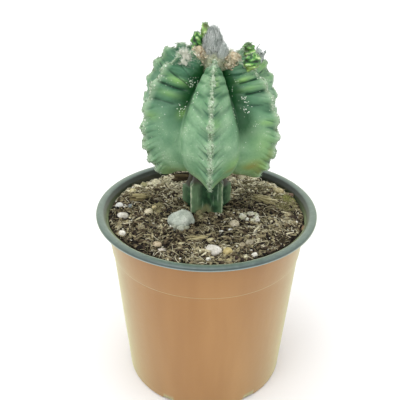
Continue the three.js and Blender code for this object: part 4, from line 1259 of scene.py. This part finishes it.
# %% Waxed skin of the head
head_skin, tree = material_tree("waxed_skin_of_the_head")
place = object_place(tree)
cloud = noise(tree, place, 8.3333, 4.0, 0.55)
speckle = noise(tree, place, 1.1111, 4.0, 0.65)
patch = add(tree, "Mix", {0: 0.3, "A": cloud, "B": speckle}).outputs[0]
colour = ramp(tree, patch, [(0.3, "#58875f"), (0.46, "#6f9871"), (0.6, "#86aa83"), (0.78, "#a3bf9b")])
ragged = rescaled(tree, speckle, to_low=-0.35, to_high=0.35)
for layer, hex_colour, low, high in (
    ("young_and_painted_shade", "#2a6444", 0.0, 1.1), ("valley", "#024417", 0.0, 0.75), ("yellow_and_painted_highlight", "#86b25c", 0.0, 1.2),
    ("under", "#7f9a58", 0.1, 1.5), ("groove", "#2a5a3c", 0.1, 1.0), ("scorch", "#848a48", 0.1, 1.3),
    ("crease", "#0a2c1c", 0.1, 0.95), ("wrinkle", "#2f6043", 0.1, 1.0), ("crest", "#a5bf9c", 0.15, 1.2),
):
    value = layer_value(tree, layer)
    broken = math_of(tree, "MULTIPLY_ADD", ragged, value, value)
    colour = blend(tree, rescaled(tree, broken, low, high), colour, hex_colour)
fleck = rescaled(tree, cells(tree, place, 1.5625), 0.2, 0.12)
fleck_here = math_of(tree, "MULTIPLY", fleck, rescaled(tree, cloud, 0.5, 0.7))
colour = blend(tree, fleck_here, colour, "#cfdcc6")
wax = rescaled(tree, cloud, to_low=0.42, to_high=0.62)
finish_surface(tree, Base_Color=colour, Roughness=wax, Normal=bumped(tree, speckle, 0.3, 0.4),
               Subsurface_Weight=0.12, Subsurface_Radius=(0.0008, 0.0016, 0.0005), Subsurface_Scale=1.0)
make_piece("head_flesh", head_shape, head_skin, "cactus_head", "head_skin", **head_layers)

# %% [markdown]
# ## Felt pads along the crests
# Each crest carries a close row of areoles, the cushions that spines would grow from. A bishop's cap has
# no spines: its areoles are pads of cream felt with a dark worn middle. Each is made as a clump of small
# flat lumps with short bent hairs and a dark core, laid on the crest, and no two sit quite in line.

# %% Find the places along the crests
def spun(first, second, angle):
    """Two axes turned together about the third."""
    c, s = np.cos(angle)[..., None], np.sin(angle)[..., None]
    return first * c + second * s, second * c - first * s


def head_frames(step, rib, place, spin):
    """Places on the head's skin with frames: along the rib, across it, and out."""
    out = head_normal(step, rib, place)
    spots = head_form(step, rib, place) + HEAD_PLACE + head_relief(step, rib, place)[..., None] * out
    up_line = unit(head_form(step + 0.05, rib, place) - head_form(step - 0.05, rib, place))
    across = unit(np.cross(out, up_line))
    return spots, np.stack([*spun(np.cross(across, out), across, spin), out], -1)


random = np.random.default_rng(77)
AREOLES, CLUMPS = len(RIBS) * AREOLES_A_RIB, 8
areole_rib, areole_order = np.divmod(np.arange(AREOLES), AREOLES_A_RIB)
areole_step = HEM_STEP + (areole_order + 0.05) * AREOLE_PITCH + random.normal(0, 0.035, AREOLES)
areole_place = random.normal(0, 0.014, AREOLES)
spots, frames = head_frames(areole_step, areole_rib, areole_place, random.normal(0, 0.3, AREOLES))
age = 1 - areole_order / AREOLES_A_RIB
clump_step = np.repeat(areole_step, CLUMPS) + random.normal(0, 0.08, AREOLES * CLUMPS)
clump_place = np.repeat(areole_place, CLUMPS) + random.normal(0, 0.028, AREOLES * CLUMPS)
clump_spots, clump_frames = head_frames(
    clump_step, np.repeat(areole_rib, CLUMPS), clump_place, random.uniform(0, 2 * np.pi, AREOLES * CLUMPS))
clump_sizes = random.uniform(0.6, 1.4, (AREOLES * CLUMPS, 1)) * [1, 0.9, 0.4]
pads = copies(lump(31, 1, 0.6), clump_frames * clump_sizes[:, None], clump_spots)
cores = copies(lump(33, 1, 0.3), frames * [0.6, 0.5, 0.3], spots + 0.24 * frames[..., 2])

# %% Plant the hair
HAIR_STEPS = 4


def bent_hairs(random, spots, frames, start, rise, bend, length, radius, taper):
    """Hairs that rise one way and bend another, given in the frame of each, thinner towards the tip."""
    share = np.linspace(0, 1, HAIR_STEPS)[:, None]
    size = random.uniform(*length, len(spots))[:, None, None]
    local = start[:, None] + size * (rise[:, None] * share + bend[:, None] * share ** 2)
    paths = spots[:, None] + np.einsum("nij,nkj->nki", frames, local)
    return strands(paths, random.uniform(*radius, len(spots))[:, None] * np.linspace(1, taper, HAIR_STEPS))


def hair_tufts(random, spots, frames, hairs, length, radius, lean, spread, sag=0.0):
    """Short bent hairs round each spot. Lean is how far they lie over; sag lowers them beside a crest."""
    count = len(spots) * hairs
    flat = level_way(random.uniform(0, 2 * np.pi, count))
    far = np.sqrt(random.uniform(0, 1, count))[:, None]
    start = flat * far * spread
    start[:, 2] = -sag * start[:, 1] ** 2
    rise = unit(flat * lean * far + [0, 0, 1] + random.normal(0, 0.22, (count, 3)))
    droop = 0.35 * unit(flat + random.normal(0, 0.5, (count, 3)))
    spots, frames = np.repeat(spots, hairs, axis=0), np.repeat(frames, hairs, axis=0)
    return bent_hairs(random, spots, frames, start, rise, droop, length, radius, 0.35)


WOOL_TONES = [(0.0, "#3a4834"), (0.25, "#728a6a"), (0.5, "#a0b698"), (0.75, "#c2d2b8"), (1.0, "#e6ecdf")]
areole_wool = toned_material("areole_felt", WOOL_TONES, 0.6, roughness=1.0, bump=0.6)
PAD_HAIRS, TIP_TUFTS, TIP_HAIRS = 26, 7, 40
tufts = hair_tufts(random, spots, frames, PAD_HAIRS, (0.4, 0.8), (0.05, 0.09), 1.6, 1.3, sag=0.4)
hair_tones = 0.68 - 0.12 * np.repeat(age, PAD_HAIRS) + random.normal(0, 0.25, AREOLES * PAD_HAIRS)
tips = len(RIBS) * TIP_TUFTS
tip_rib = np.repeat(np.arange(len(RIBS)), TIP_TUFTS)
tip_step = np.tile(np.linspace(10.4, 12.4, TIP_TUFTS), len(RIBS)) + random.normal(0, 0.05, tips)
tip_place, tip_spin = random.normal(0, 0.09, tips), random.normal(0, 1, tips)
tip_spots, tip_frames = head_frames(tip_step, tip_rib, tip_place, tip_spin)
tip_wool = hair_tufts(random, tip_spots, tip_frames, TIP_HAIRS, (0.6, 1.5), (0.04, 0.08), 1.3, 1.5)
make_toned_piece(
    "areole_felt", areole_wool, "cactus_head", "areole_wool",
    (pads, 0.62 - 0.12 * np.repeat(age, CLUMPS) + random.normal(0, 0.2, AREOLES * CLUMPS)),
    (cores, 0.3 - 0.25 * age + random.normal(0, 0.08, AREOLES)),
    (tufts, hair_tones), (tip_wool, random.uniform(0.45, 1.0, tips * TIP_HAIRS)),
)

# %% [markdown]
# ## Flock
# The white dots of a bishop's cap are tiny tufts of hair, a third of a millimetre to a millimetre
# across. This plant has lost most of them: some hold on in loose groups on the ribs' faces, more along
# the crests. They are small flat lumps laid on the skin.

# %% Scatter the flock
FLOCK_GROUPS = [  # rib, step, place, how many
    (5, 9.27, 0.81, 26), (5, 7.35, 0.88, 16), (0, 7.9, -0.66, 6), (0, 6.6, -0.62, 5), (0, 7.4, 0.84, 8),
    (0, 6.5, 0.76, 8), (1, 8.1, -0.66, 16), (1, 7.5, -0.7, 10), (0, 8.6, -0.6, 8), (5, 6.0, 0.5, 10),
    (4, 8.0, 0.6, 14), (2, 8.2, -0.6, 14), (3, 8.6, 0.5, 18), (3, 6.4, -0.5, 14), (4, 6.2, -0.6, 14),
    (2, 6.0, 0.5, 14), (0, 5.0, -0.5, 8), (1, 5.2, -0.5, 10), (5, 4.4, 0.5, 12),
]
FLOCK_GROUPS = np.array(FLOCK_GROUPS)
LOOSE, ON_CREST = 130, 3000
group_rib, group_step, group_place = np.repeat(FLOCK_GROUPS[:, :3], FLOCK_GROUPS[:, 3].astype(int), axis=0).T
grouped, others = len(group_rib), LOOSE + ON_CREST
group_step = group_step + random.normal(0, 0.2, grouped)
group_place = np.clip(group_place + random.normal(0, 0.06, grouped), -0.98, 0.98)


def flock_draws(*ranges):
    """Even draws for the groups, the loose flock and the crests, each from its own range."""
    return np.concatenate([random.uniform(*span, n) for span, n in zip(ranges, (grouped, LOOSE, ON_CREST))])


flock_rib = np.concatenate([group_rib.astype(int), random.integers(0, len(RIBS), others)])
flock_step = np.concatenate([group_step, random.uniform(3.2, 12.2, others)])
loose_place, crest_place = random.uniform(-0.97, 0.97, LOOSE), random.normal(0, 0.042, ON_CREST)
flock_place = np.concatenate([group_place, loose_place, crest_place])
spots, frames = head_frames(flock_step, flock_rib, flock_place, random.uniform(0, 6.28, grouped + others))
on_shoulder = smooth_step(group_step, 6.8, 7.6)
across = flock_draws((0.5, 1.0), (0.22, 0.42), (0.2, 0.65))
across[:grouped] *= 0.45 + 0.2 * on_shoulder
longer, flatter = random.uniform(0.8, 1.3, len(across)), random.uniform(0.45, 0.8, len(across))
flock_sizes = across[:, None] * vectors(longer, 1.0, flatter)
flock = copies(lump(41, 1, 0.35), frames * flock_sizes[:, None], spots + 0.04 * frames[..., 2])
flock_tones = flock_draws((0.45, 0.8), (0.5, 0.9), (0.2, 0.85))
flock_tones[:grouped] += 0.25 * on_shoulder
make_toned_piece("white_flock", areole_wool, "cactus_head", "areole_wool", (flock, flock_tones))

# %% [markdown]
# ## What grows on the crown
# Wool fills the middle of the crown. Two woolly flower buds, four small pups and the shrivelled remains
# of three flowers stand in it. Each is a skin round a short axis, with a list of radii for its
# silhouette and a rule for what runs round it: knobs on the pups, folds on what has dried.

# %% Draw a growth
GROWTHS = {  # foot and tip in mm from the graft union, and radii at even steps between them
    "flower_bud_large": [
        (0.6, 0.4, 57.5), (0.9, 0, 76.2), (3.2, 4, 4.5, 4.85, 4.95, 4.9, 4.6, 4.1, 3.3, 2.3, 1.1)],
    "flower_bud_small": [(4.4, -2.6, 56), (5.9, -4.4, 69.3), (1.9, 2.5, 2.8, 2.85, 2.6, 2, 0.9)],
    "offset_left_dark": [(-6.2, 2.2, 56.5), (-7.2, 1.2, 73.2), (1.8, 1.9, 2, 2.6, 3.05, 3.1, 2.7, 1.6)],
    "offset_left_pale": [(-1.4, 5.6, 55), (-3.4, 3.6, 77.2), (1.8, 1.8, 1.8, 1.9, 2.4, 2.8, 2.6, 1.5)],
    "offset_right_front": [(18.8, -10.2, 57.5), (20, -9.2, 65.6), (1.6, 3.2, 4.3, 4.5, 3.9, 2)],
    "offset_right_back": [(18.2, 10, 57.5), (18.8, 9.6, 66.2), (1.6, 3, 3.9, 4.1, 3.5, 1.7)],
    "withered_flower_left": [(-4.8, -3.2, 55), (-6.2, -3.8, 67.6), (2.4, 3.3, 3.8, 3.9, 3.6, 3.1, 1.6)],
    "withered_flower_right": [(8.6, -3.2, 54), (10.6, -4.4, 64.8), (2.6, 3.6, 4.4, 4.7, 4.3, 2.6)],
    "withered_flower_back": [(24, 12.8, 54), (24.4, 12.2, 62.6), (1.8, 2.4, 2.8, 2.6, 1.4)],
    "wool_tuft_left": [(-13.2, -7.8, 58.5), (-13.5, -8.1, 66), (2.2, 2.8, 3, 2.5, 1.3)],
}


def growth_rings(name, relief, levels=56, sides=84):
    """Rings of a growth. Relief multiplies the radius, by share of a turn and share of the height."""
    foot, tip, radii = (np.array(v, float) for v in GROWTHS[name])
    share = np.linspace(0, 1, levels)
    radius = along_line(radii[:, None], share * (len(radii) - 1))
    around, height = np.meshgrid(np.arange(sides) / sides, share)
    reach = radius * relief(around, height)
    centre = HEAD_PLACE + foot + (tip - foot) * share[:, None]
    return centre[:, None] + reach[..., None] * facing(360 * around)


def closed_growth(rings):
    """The rings closed by a low dome at each end."""
    ends = [rings[i].mean(0) + [0, 0, rise * np.ptp(rings[i][:, 0]) / 5] for i, rise in ((0, -1), (-1, 1))]
    return ringed_skin(rings, *ends)


def skin_frames(rings, level, side):
    """Places on a ringed skin with frames: up it, round it, and out."""
    up = unit(np.gradient(rings, axis=0))
    out = unit(np.cross(np.roll(rings, -1, 1) - np.roll(rings, 1, 1), up))
    frames = np.stack([up, np.cross(out, up), out], -1)
    return rings[level, side], frames[level, side]


def random_skin_frames(random, rings, count, low=0.0, high=1.0):
    """Places strewn over a ringed skin, from a low to a high share of its height, with frames."""
    level = random.uniform(low, high, count) * (len(rings) - 1)
    return skin_frames(rings, level.astype(int), random.integers(0, rings.shape[1], count))


def combed_hair(random, spots, frames, length, radius, lift, stray):
    """One hair a spot, combed up along the skin. Lift is how far it stands off."""
    count = len(spots)
    rise = unit(vectors(1.0, random.normal(0, stray, count), random.uniform(*lift, count)))
    bend = random.normal(0, stray, (count, 3))
    return bent_hairs(random, spots, frames, np.zeros((count, 3)), rise, bend, length, radius, 0.3)


def crumpled(shape, depth, size, seed, upright=1.0):
    """The shape pushed in and out by noise, less along its height where it is upright."""
    points, faces = shape
    out = unit((points - points.mean(0)) * [1, 1, upright])
    return points + depth * grain(points, size, seed, 3)[:, None] * out, faces


# %% [markdown]
# The buds are wrapped in narrow scales, and long grey hair grows from under each scale and lies
# upwards over it, so a bud looks streaked. The hair is combed up the skin, and a few darker scale tips
# come through it.

# %% Wrap the flower buds
BUD_TONES = [(0.0, "#4c5348"), (0.25, "#87918a"), (0.5, "#b9c1bb"), (0.75, "#d6dbd6"), (1.0, "#f2f4f0")]
bud_wool = toned_material("grey_bud_wool", BUD_TONES, 0.7, roughness=1.0, bump=0.5)
GOLDEN_TURN = 0.381966  # a plant sets each new scale this share of a turn on from the last


def wrap_bud(name, seed, scales, hairs, hair_length, tones, scale_tone):
    """A bud: a skin raised over its scales, the tips of the scales, and hair combed up over them."""
    random = np.random.default_rng(seed)
    order = np.arange(scales)
    scale_height = 0.12 + 0.84 * order / scales
    scale_around = (order * GOLDEN_TURN) % 1

    def raised(around, height):
        apart = np.abs(wrapped(around[..., None] - scale_around)) * 6
        below = (height[..., None] - scale_height) * 9
        swell = np.exp(-(apart * 2.6) ** 2 - (below + 0.3) ** 2 * 3) * (below < 0.25)
        return 0.97 + 0.055 * swell.max(-1)

    rings = growth_rings(name, raised)
    shape = closed_growth(rings)
    level = (scale_height * (len(rings) - 1)).astype(int)
    spots, frames = skin_frames(rings, level, (scale_around * rings.shape[1]).astype(int))
    tips = combed_hair(random, spots, frames, (1.2, 2.2), (0.14, 0.26), (0.35, 0.7), 0.1)
    roots, hair_frames = random_skin_frames(random, rings, hairs, 0.05, 0.97)
    hair = combed_hair(random, roots, hair_frames, hair_length, (0.05, 0.1), (0.05, 0.5), 0.14)
    streak = grain(roots * [1, 1, 0.3], 1.6, seed)
    low, high = tones
    make_toned_piece(
        f"{name}_wool", bud_wool, name, "bud_wool",
        (shape, low + 0.1), (tips, scale_tone + random.normal(0, 0.1, scales)),
        (hair, low + (high - low) * (0.5 + 0.7 * streak) + random.normal(0, 0.2, hairs)),
    )


wrap_bud("flower_bud_large", 301, 120, 3400, (1.2, 2.6), (0.2, 1.05), 0.05)
wrap_bud("flower_bud_small", 302, 40, 1300, (0.8, 1.6), (0.38, 0.72), 0.4)

# %% [markdown]
# A pup is a whole small cactus: crumpled knobs in staggered, slanting rows, with a pale felt dot on each
# knob. Its young green is painted brighter on the knobs as a painted highlight and nearly black in between
# as painted shade.

# %% Waxed skin of the pups
pup_skin, tree = material_tree("waxed_skin_of_the_pups")
mottle = noise(tree, object_place(tree), 1.4286, 4.0, 0.6)
shaken = rescaled(tree, mottle, 0.3, 0.7, -0.22, 0.22)
# painted light and shade: each knob is lit by its height, and the hollows between go nearly black
knob_green_with_painted_light = ramp(tree, math_of(tree, "ADD", layer_value(tree, "ridge"), shaken), [
    (0.1, "#0a210c"), (0.36, "#214f22"), (0.62, "#518f3b"), (0.86, "#88b65b"), (1.0, "#c0d49e")])
colour = blend(tree, layer_value(tree, "pale"), knob_green_with_painted_light, "#a9bb68")
finish_surface(tree, Base_Color=colour, Roughness=0.45, Normal=bumped(tree, mottle, 0.3, 0.3),
               Subsurface_Weight=0.15, Subsurface_Radius=(0.0008, 0.0016, 0.0004), Subsurface_Scale=1.0)


# %% Grow the pups
PUP_DOT, DOT_HAIRS, CROWN_HAIRS = (0.36, 0.32, 0.24), 6, 70


def grow_pup(name, seed, knobs, first_row, paleness, brightness=1.0):
    """A pup: staggered rows of knobs, a felt dot and a few hairs on each, and wool in its crown."""
    random = np.random.default_rng(seed)
    foot, tip, radii = GROWTHS[name]
    last = len(radii) - 1
    level, order = np.meshgrid(np.arange(first_row, len(radii)), np.arange(knobs), indexing="ij")
    count = level.size
    knob_around = (order.ravel() - level.ravel() / 2 + random.normal(0, 0.13, count)) / knobs
    knob_level = level.ravel() + random.normal(0, 0.3, count)
    knob_size, knob_slant = random.uniform(0.55, 1.25, count), random.normal(0, 0.75, count)

    def knobby(around, height):
        apart = wrapped(around[..., None] - knob_around) * knobs
        above = height[..., None] * last - knob_level + knob_slant * apart
        return 0.68 + 0.38 * (knob_size * np.exp(-(1.7 * apart) ** 2 - (1.7 * np.abs(above)) ** 1.5)).max(-1)

    rings = growth_rings(name, knobby, 72, 16 * knobs)
    levels, sides, _ = rings.shape
    shape = crumpled(closed_growth(rings), 0.7, 1.5, seed, 0.4)
    around, height = np.meshgrid(np.arange(sides) / sides, np.linspace(0, 1, levels))
    ridge = brightness * with_poles((knobby(around, height) - 0.68) / 0.36, upper=0.5)
    share = (shape[0][:, 2] - HEAD_PLACE[2] - foot[2]) / (tip[2] - foot[2])
    pale = np.clip(paleness + 0.5 * (1 - smooth_step(share, 0.3, 0.55)), 0, 1)
    make_piece(f"{name}_body", shape, pup_skin, name, "offset_skin", ridge=ridge, pale=pale)

    side = np.round((knob_around % 1) * sides).astype(int) % sides
    row = np.clip(knob_level / last * (levels - 1), 0, levels - 1)
    spots, frames = skin_frames(rings, row.astype(int), side)
    dot_frames = frames * PUP_DOT * random.uniform(0.5, 1.2, (count, 1, 1))
    dots = copies(lump(35, 1, 0.3), dot_frames, spots + 0.1 * frames[..., 2])
    hairs = hair_tufts(random, spots, frames, DOT_HAIRS, (0.5, 1.1), (0.03, 0.06), 1.0, 0.25)
    top = HEAD_PLACE + np.array([tip])
    crown_hair = hair_tufts(random, top, np.eye(3)[None], CROWN_HAIRS, (0.5, 1.2), (0.04, 0.07), 1.3, 1.3)
    tones = random.uniform(0.4, 0.8, count)
    make_toned_piece(
        f"{name}_felt", areole_wool, name, "areole_wool",
        (dots, tones), (hairs, tones), (crown_hair, random.uniform(0.25, 0.8, CROWN_HAIRS)),
    )


grow_pup("offset_left_dark", 311, 5, 3, 0.0, 0.86)
grow_pup("offset_left_pale", 312, 4, 3, 0.32)
grow_pup("offset_right_front", 313, 5, 1, 0.0)
grow_pup("offset_right_back", 314, 5, 1, 0.1, 0.9)

# %% [markdown]
# A withered flower is a bundle of dry petals on a shrunken tube. Petals curl as they lose water, turn
# straw-coloured, and brown first at their edges and folds. Each is a thin flat strand that leaves the
# tube, bends and twists.

# %% Crumple the dry flowers
PETAL_TONES = [(0.0, "#564331"), (0.25, "#8f7d60"), (0.5, "#c0b395"), (0.75, "#dad2b8"), (1.0, "#f1ede0")]
dry_petals = toned_material("dried_petals", PETAL_TONES, 1.1, roughness=0.85, bump=0.6)
PETAL_SIDES, PETAL_POINTS, PETAL_THICKNESS, FLOWER_HAIRS = 8, 9, 0.3, 320
petal_angle = 2 * np.pi * np.arange(PETAL_SIDES) / PETAL_SIDES


def blades(paths, widths, roll):
    """Closed flat strands: widths are (strand, point), roll is each one's turn about its own path."""
    along = unit(np.gradient(paths, axis=1))
    side = unit(np.cross(along, [0.0, 0.0, 1.0]) + [1e-3, 0, 0])
    side, over = (v[:, :, None] for v in spun(side, np.cross(along, side), roll[:, None]))
    widths_here, angle = widths[:, :, None, None], petal_angle[:, None]
    fold = 0.22 * widths_here * (np.abs(np.cos(angle)) - 0.5)
    points = paths[:, :, None] + widths_here / 2 * np.cos(angle) * side
    points = points + (PETAL_THICKNESS / 2 * np.sin(angle) + fold) * over
    return points.reshape(-1, 3), strands(paths, widths, PETAL_SIDES)[1]


def crumple_flower(name, seed, petals, length, width, tones, material=dry_petals):
    """A withered flower: a folded tube, petals round it, and some hair."""
    random = np.random.default_rng(seed)
    turn_of, folds = random.uniform(0, 1, 5), random.integers(2, 7, 5)

    def folded(around, height):
        waves = sum(np.sin(2 * np.pi * (n * around + t) + 5 * height * (i + 1.3))
                    for i, (n, t) in enumerate(zip(folds, turn_of)))
        return 0.78 + 0.07 * waves

    rings = growth_rings(name, folded, 48, 72)
    tube = crumpled(closed_growth(rings), 0.35, 1.8, seed)

    spots, frames = random_skin_frames(random, rings, petals, 0.1, 0.8)
    share = np.linspace(0, 1, PETAL_POINTS)[:, None]
    way_up, way_round, way_out = (
        random.uniform(0.7, 1.2, petals), random.normal(0, 0.3, petals), random.uniform(0.1, 0.5, petals))
    curl_up, curl_round, curl_out = (
        random.uniform(-0.4, 0.2, petals), random.normal(0, 0.4, petals), random.uniform(-0.6, 0.1, petals))
    way, curl = vectors(way_up, way_round, way_out), vectors(curl_up, curl_round, curl_out)
    size = random.uniform(*length, petals)[:, None, None]
    local = size * (way[:, None] * share + curl[:, None] * share ** 2)
    local = local + 0.18 * np.sin(9 * share + random.uniform(0, 6, (petals, 1, 3)))
    paths = spots[:, None] + np.einsum("nij,nkj->nki", frames, local)
    outline = np.sin(np.pi * (0.12 + 0.8 * share[:, 0])) ** 0.6
    widths = random.uniform(*width, petals)[:, None] * outline
    petal_shape = blades(paths, widths, random.normal(0, 0.7, petals))
    roots, hair_frames = random_skin_frames(random, rings, FLOWER_HAIRS, 0.1, 0.95)
    hair = combed_hair(random, roots, hair_frames, (0.8, 1.8), (0.04, 0.07), (0.2, 1.0), 0.4)
    low, high = tones
    browned = 0.4 * np.abs(np.cos(petal_angle)) ** 6 + 0.35 * (share > 0.9) - 0.1 * np.sin(7 * share)
    petal_tones = random.uniform(low, high, petals)[:, None, None] - browned
    make_toned_piece(
        f"{name}_petals", material, name, "dried_petal",
        (tube, low - 0.1 + 0.5 * grain(tube[0], 1.2, seed + 1, 3)),
        (petal_shape, petal_tones.ravel()), (hair, random.uniform(low, high, FLOWER_HAIRS)),
    )


crumple_flower("withered_flower_left", 326, 120, (1.6, 3.0), (0.7, 1.5), (0.55, 1.0))
crumple_flower("withered_flower_right", 322, 130, (1.6, 3.0), (0.7, 1.6), (0.6, 1.0))
crumple_flower("withered_flower_back", 323, 28, (1.6, 3.2), (0.9, 1.8), (0.55, 1.0), bud_wool)

# %% [markdown]
# New areoles open close together in the middle of the crown, so their felt runs into one cushion, with
# a lobe up to each rib. It is a low skin under a pile of hair; on the left shoulder a tuft stands alone.

# %% Fill the crown with wool
WOOL_LEVELS = np.array([  # share of the radius, height, lobe on the ribs
    (0.6, 54.5, 0.0), (1.0, 57.0, 0.5), (1.0, 60.2, 1.8), (0.8, 61.8, 1.4), (0.45, 62.4, 0.4),
])
WOOL_VALLEY, WOOL_RIB, WOOL_ROWS, WOOL_COLUMNS = 7.5, 11.8, 40, 120
PILE_HAIRS, TUFT_HAIRS = 2600, 900
random = np.random.default_rng(331)
level_line = along_line(WOOL_LEVELS, np.linspace(0, len(WOOL_LEVELS) - 1, WOOL_ROWS))
wool_turn, wool_level = np.meshgrid(round_turns(WOOL_COLUMNS), np.arange(WOOL_ROWS))
on_rib = (1 + np.cos(np.radians(len(RIBS) * wool_turn))) / 2
width, rise, lobe = np.moveaxis(level_line[wool_level], -1, 0)
wool_rings = (width * (WOOL_VALLEY + (WOOL_RIB - WOOL_VALLEY) * on_rib))[..., None] * facing(wool_turn)
wool_rings[..., 2] = rise + lobe * on_rib
wool_rings += HEAD_PLACE + [CROWN_SHIFT / 2, 0, 0]
heaps = 0.6 * grain(wool_rings.reshape(-1, 3), 2.2, 332, 3).reshape(wool_turn.shape)
wool_rings += heaps[..., None] * [0.3, 0.3, 1]
cushion = closed_growth(wool_rings)
FELT_TONES = [(0.0, "#5c6249"), (0.25, "#8c9373"), (0.5, "#b6bc9b"), (0.75, "#d4d8be"), (1.0, "#f1f0e6")]
crown_felt = toned_material("crown_felt", FELT_TONES, 0.8, roughness=1.0, bump=0.6)
roots, frames = random_skin_frames(random, wool_rings, PILE_HAIRS, 0.3, 1.0)
pile = combed_hair(random, roots, frames, (1.0, 2.6), (0.05, 0.09), (0.3, 1.8), 0.5)
make_toned_piece(
    "crown_wool_pile", crown_felt, "crown_wool", "areole_wool",
    (cushion, 0.35 + 0.4 * grain(cushion[0], 2.0, 333, 3)),
    (pile, 0.62 + 0.3 * grain(roots, 2.6, 334) + random.normal(0, 0.12, PILE_HAIRS)),
)


def waved(around, height):
    """The uneven outline of a tuft, as a share of its radius."""
    broad, narrow = 3 * around + 0.7 * height, 5 * around - height
    return 0.85 + 0.1 * np.sin(2 * np.pi * broad) + 0.08 * np.sin(2 * np.pi * narrow)


tuft_rings = growth_rings("wool_tuft_left", waved)
roots, frames = random_skin_frames(random, tuft_rings, TUFT_HAIRS, 0.1, 1.0)
tuft_hair = combed_hair(random, roots, frames, (1.0, 2.4), (0.05, 0.1), (0.4, 1.6), 0.4)
make_toned_piece("wool_tuft_left_pile", crown_felt, "wool_tuft_left", "areole_wool",
                 (closed_growth(tuft_rings), 0.95), (tuft_hair, 1.0 + random.normal(0, 0.2, TUFT_HAIRS)))

# %% [markdown]
# ## Sizes
# The box of the finished pieces is measured, and kept and printed beside that of the frame.

# %% Keep the sizes and finish
bpy.context.view_layer.update()
sizes = {
    "cad": [list(corner) for corner in frame_box],
    "visual": [list(corner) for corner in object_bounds()],
}
print("sizes, m:", sizes)
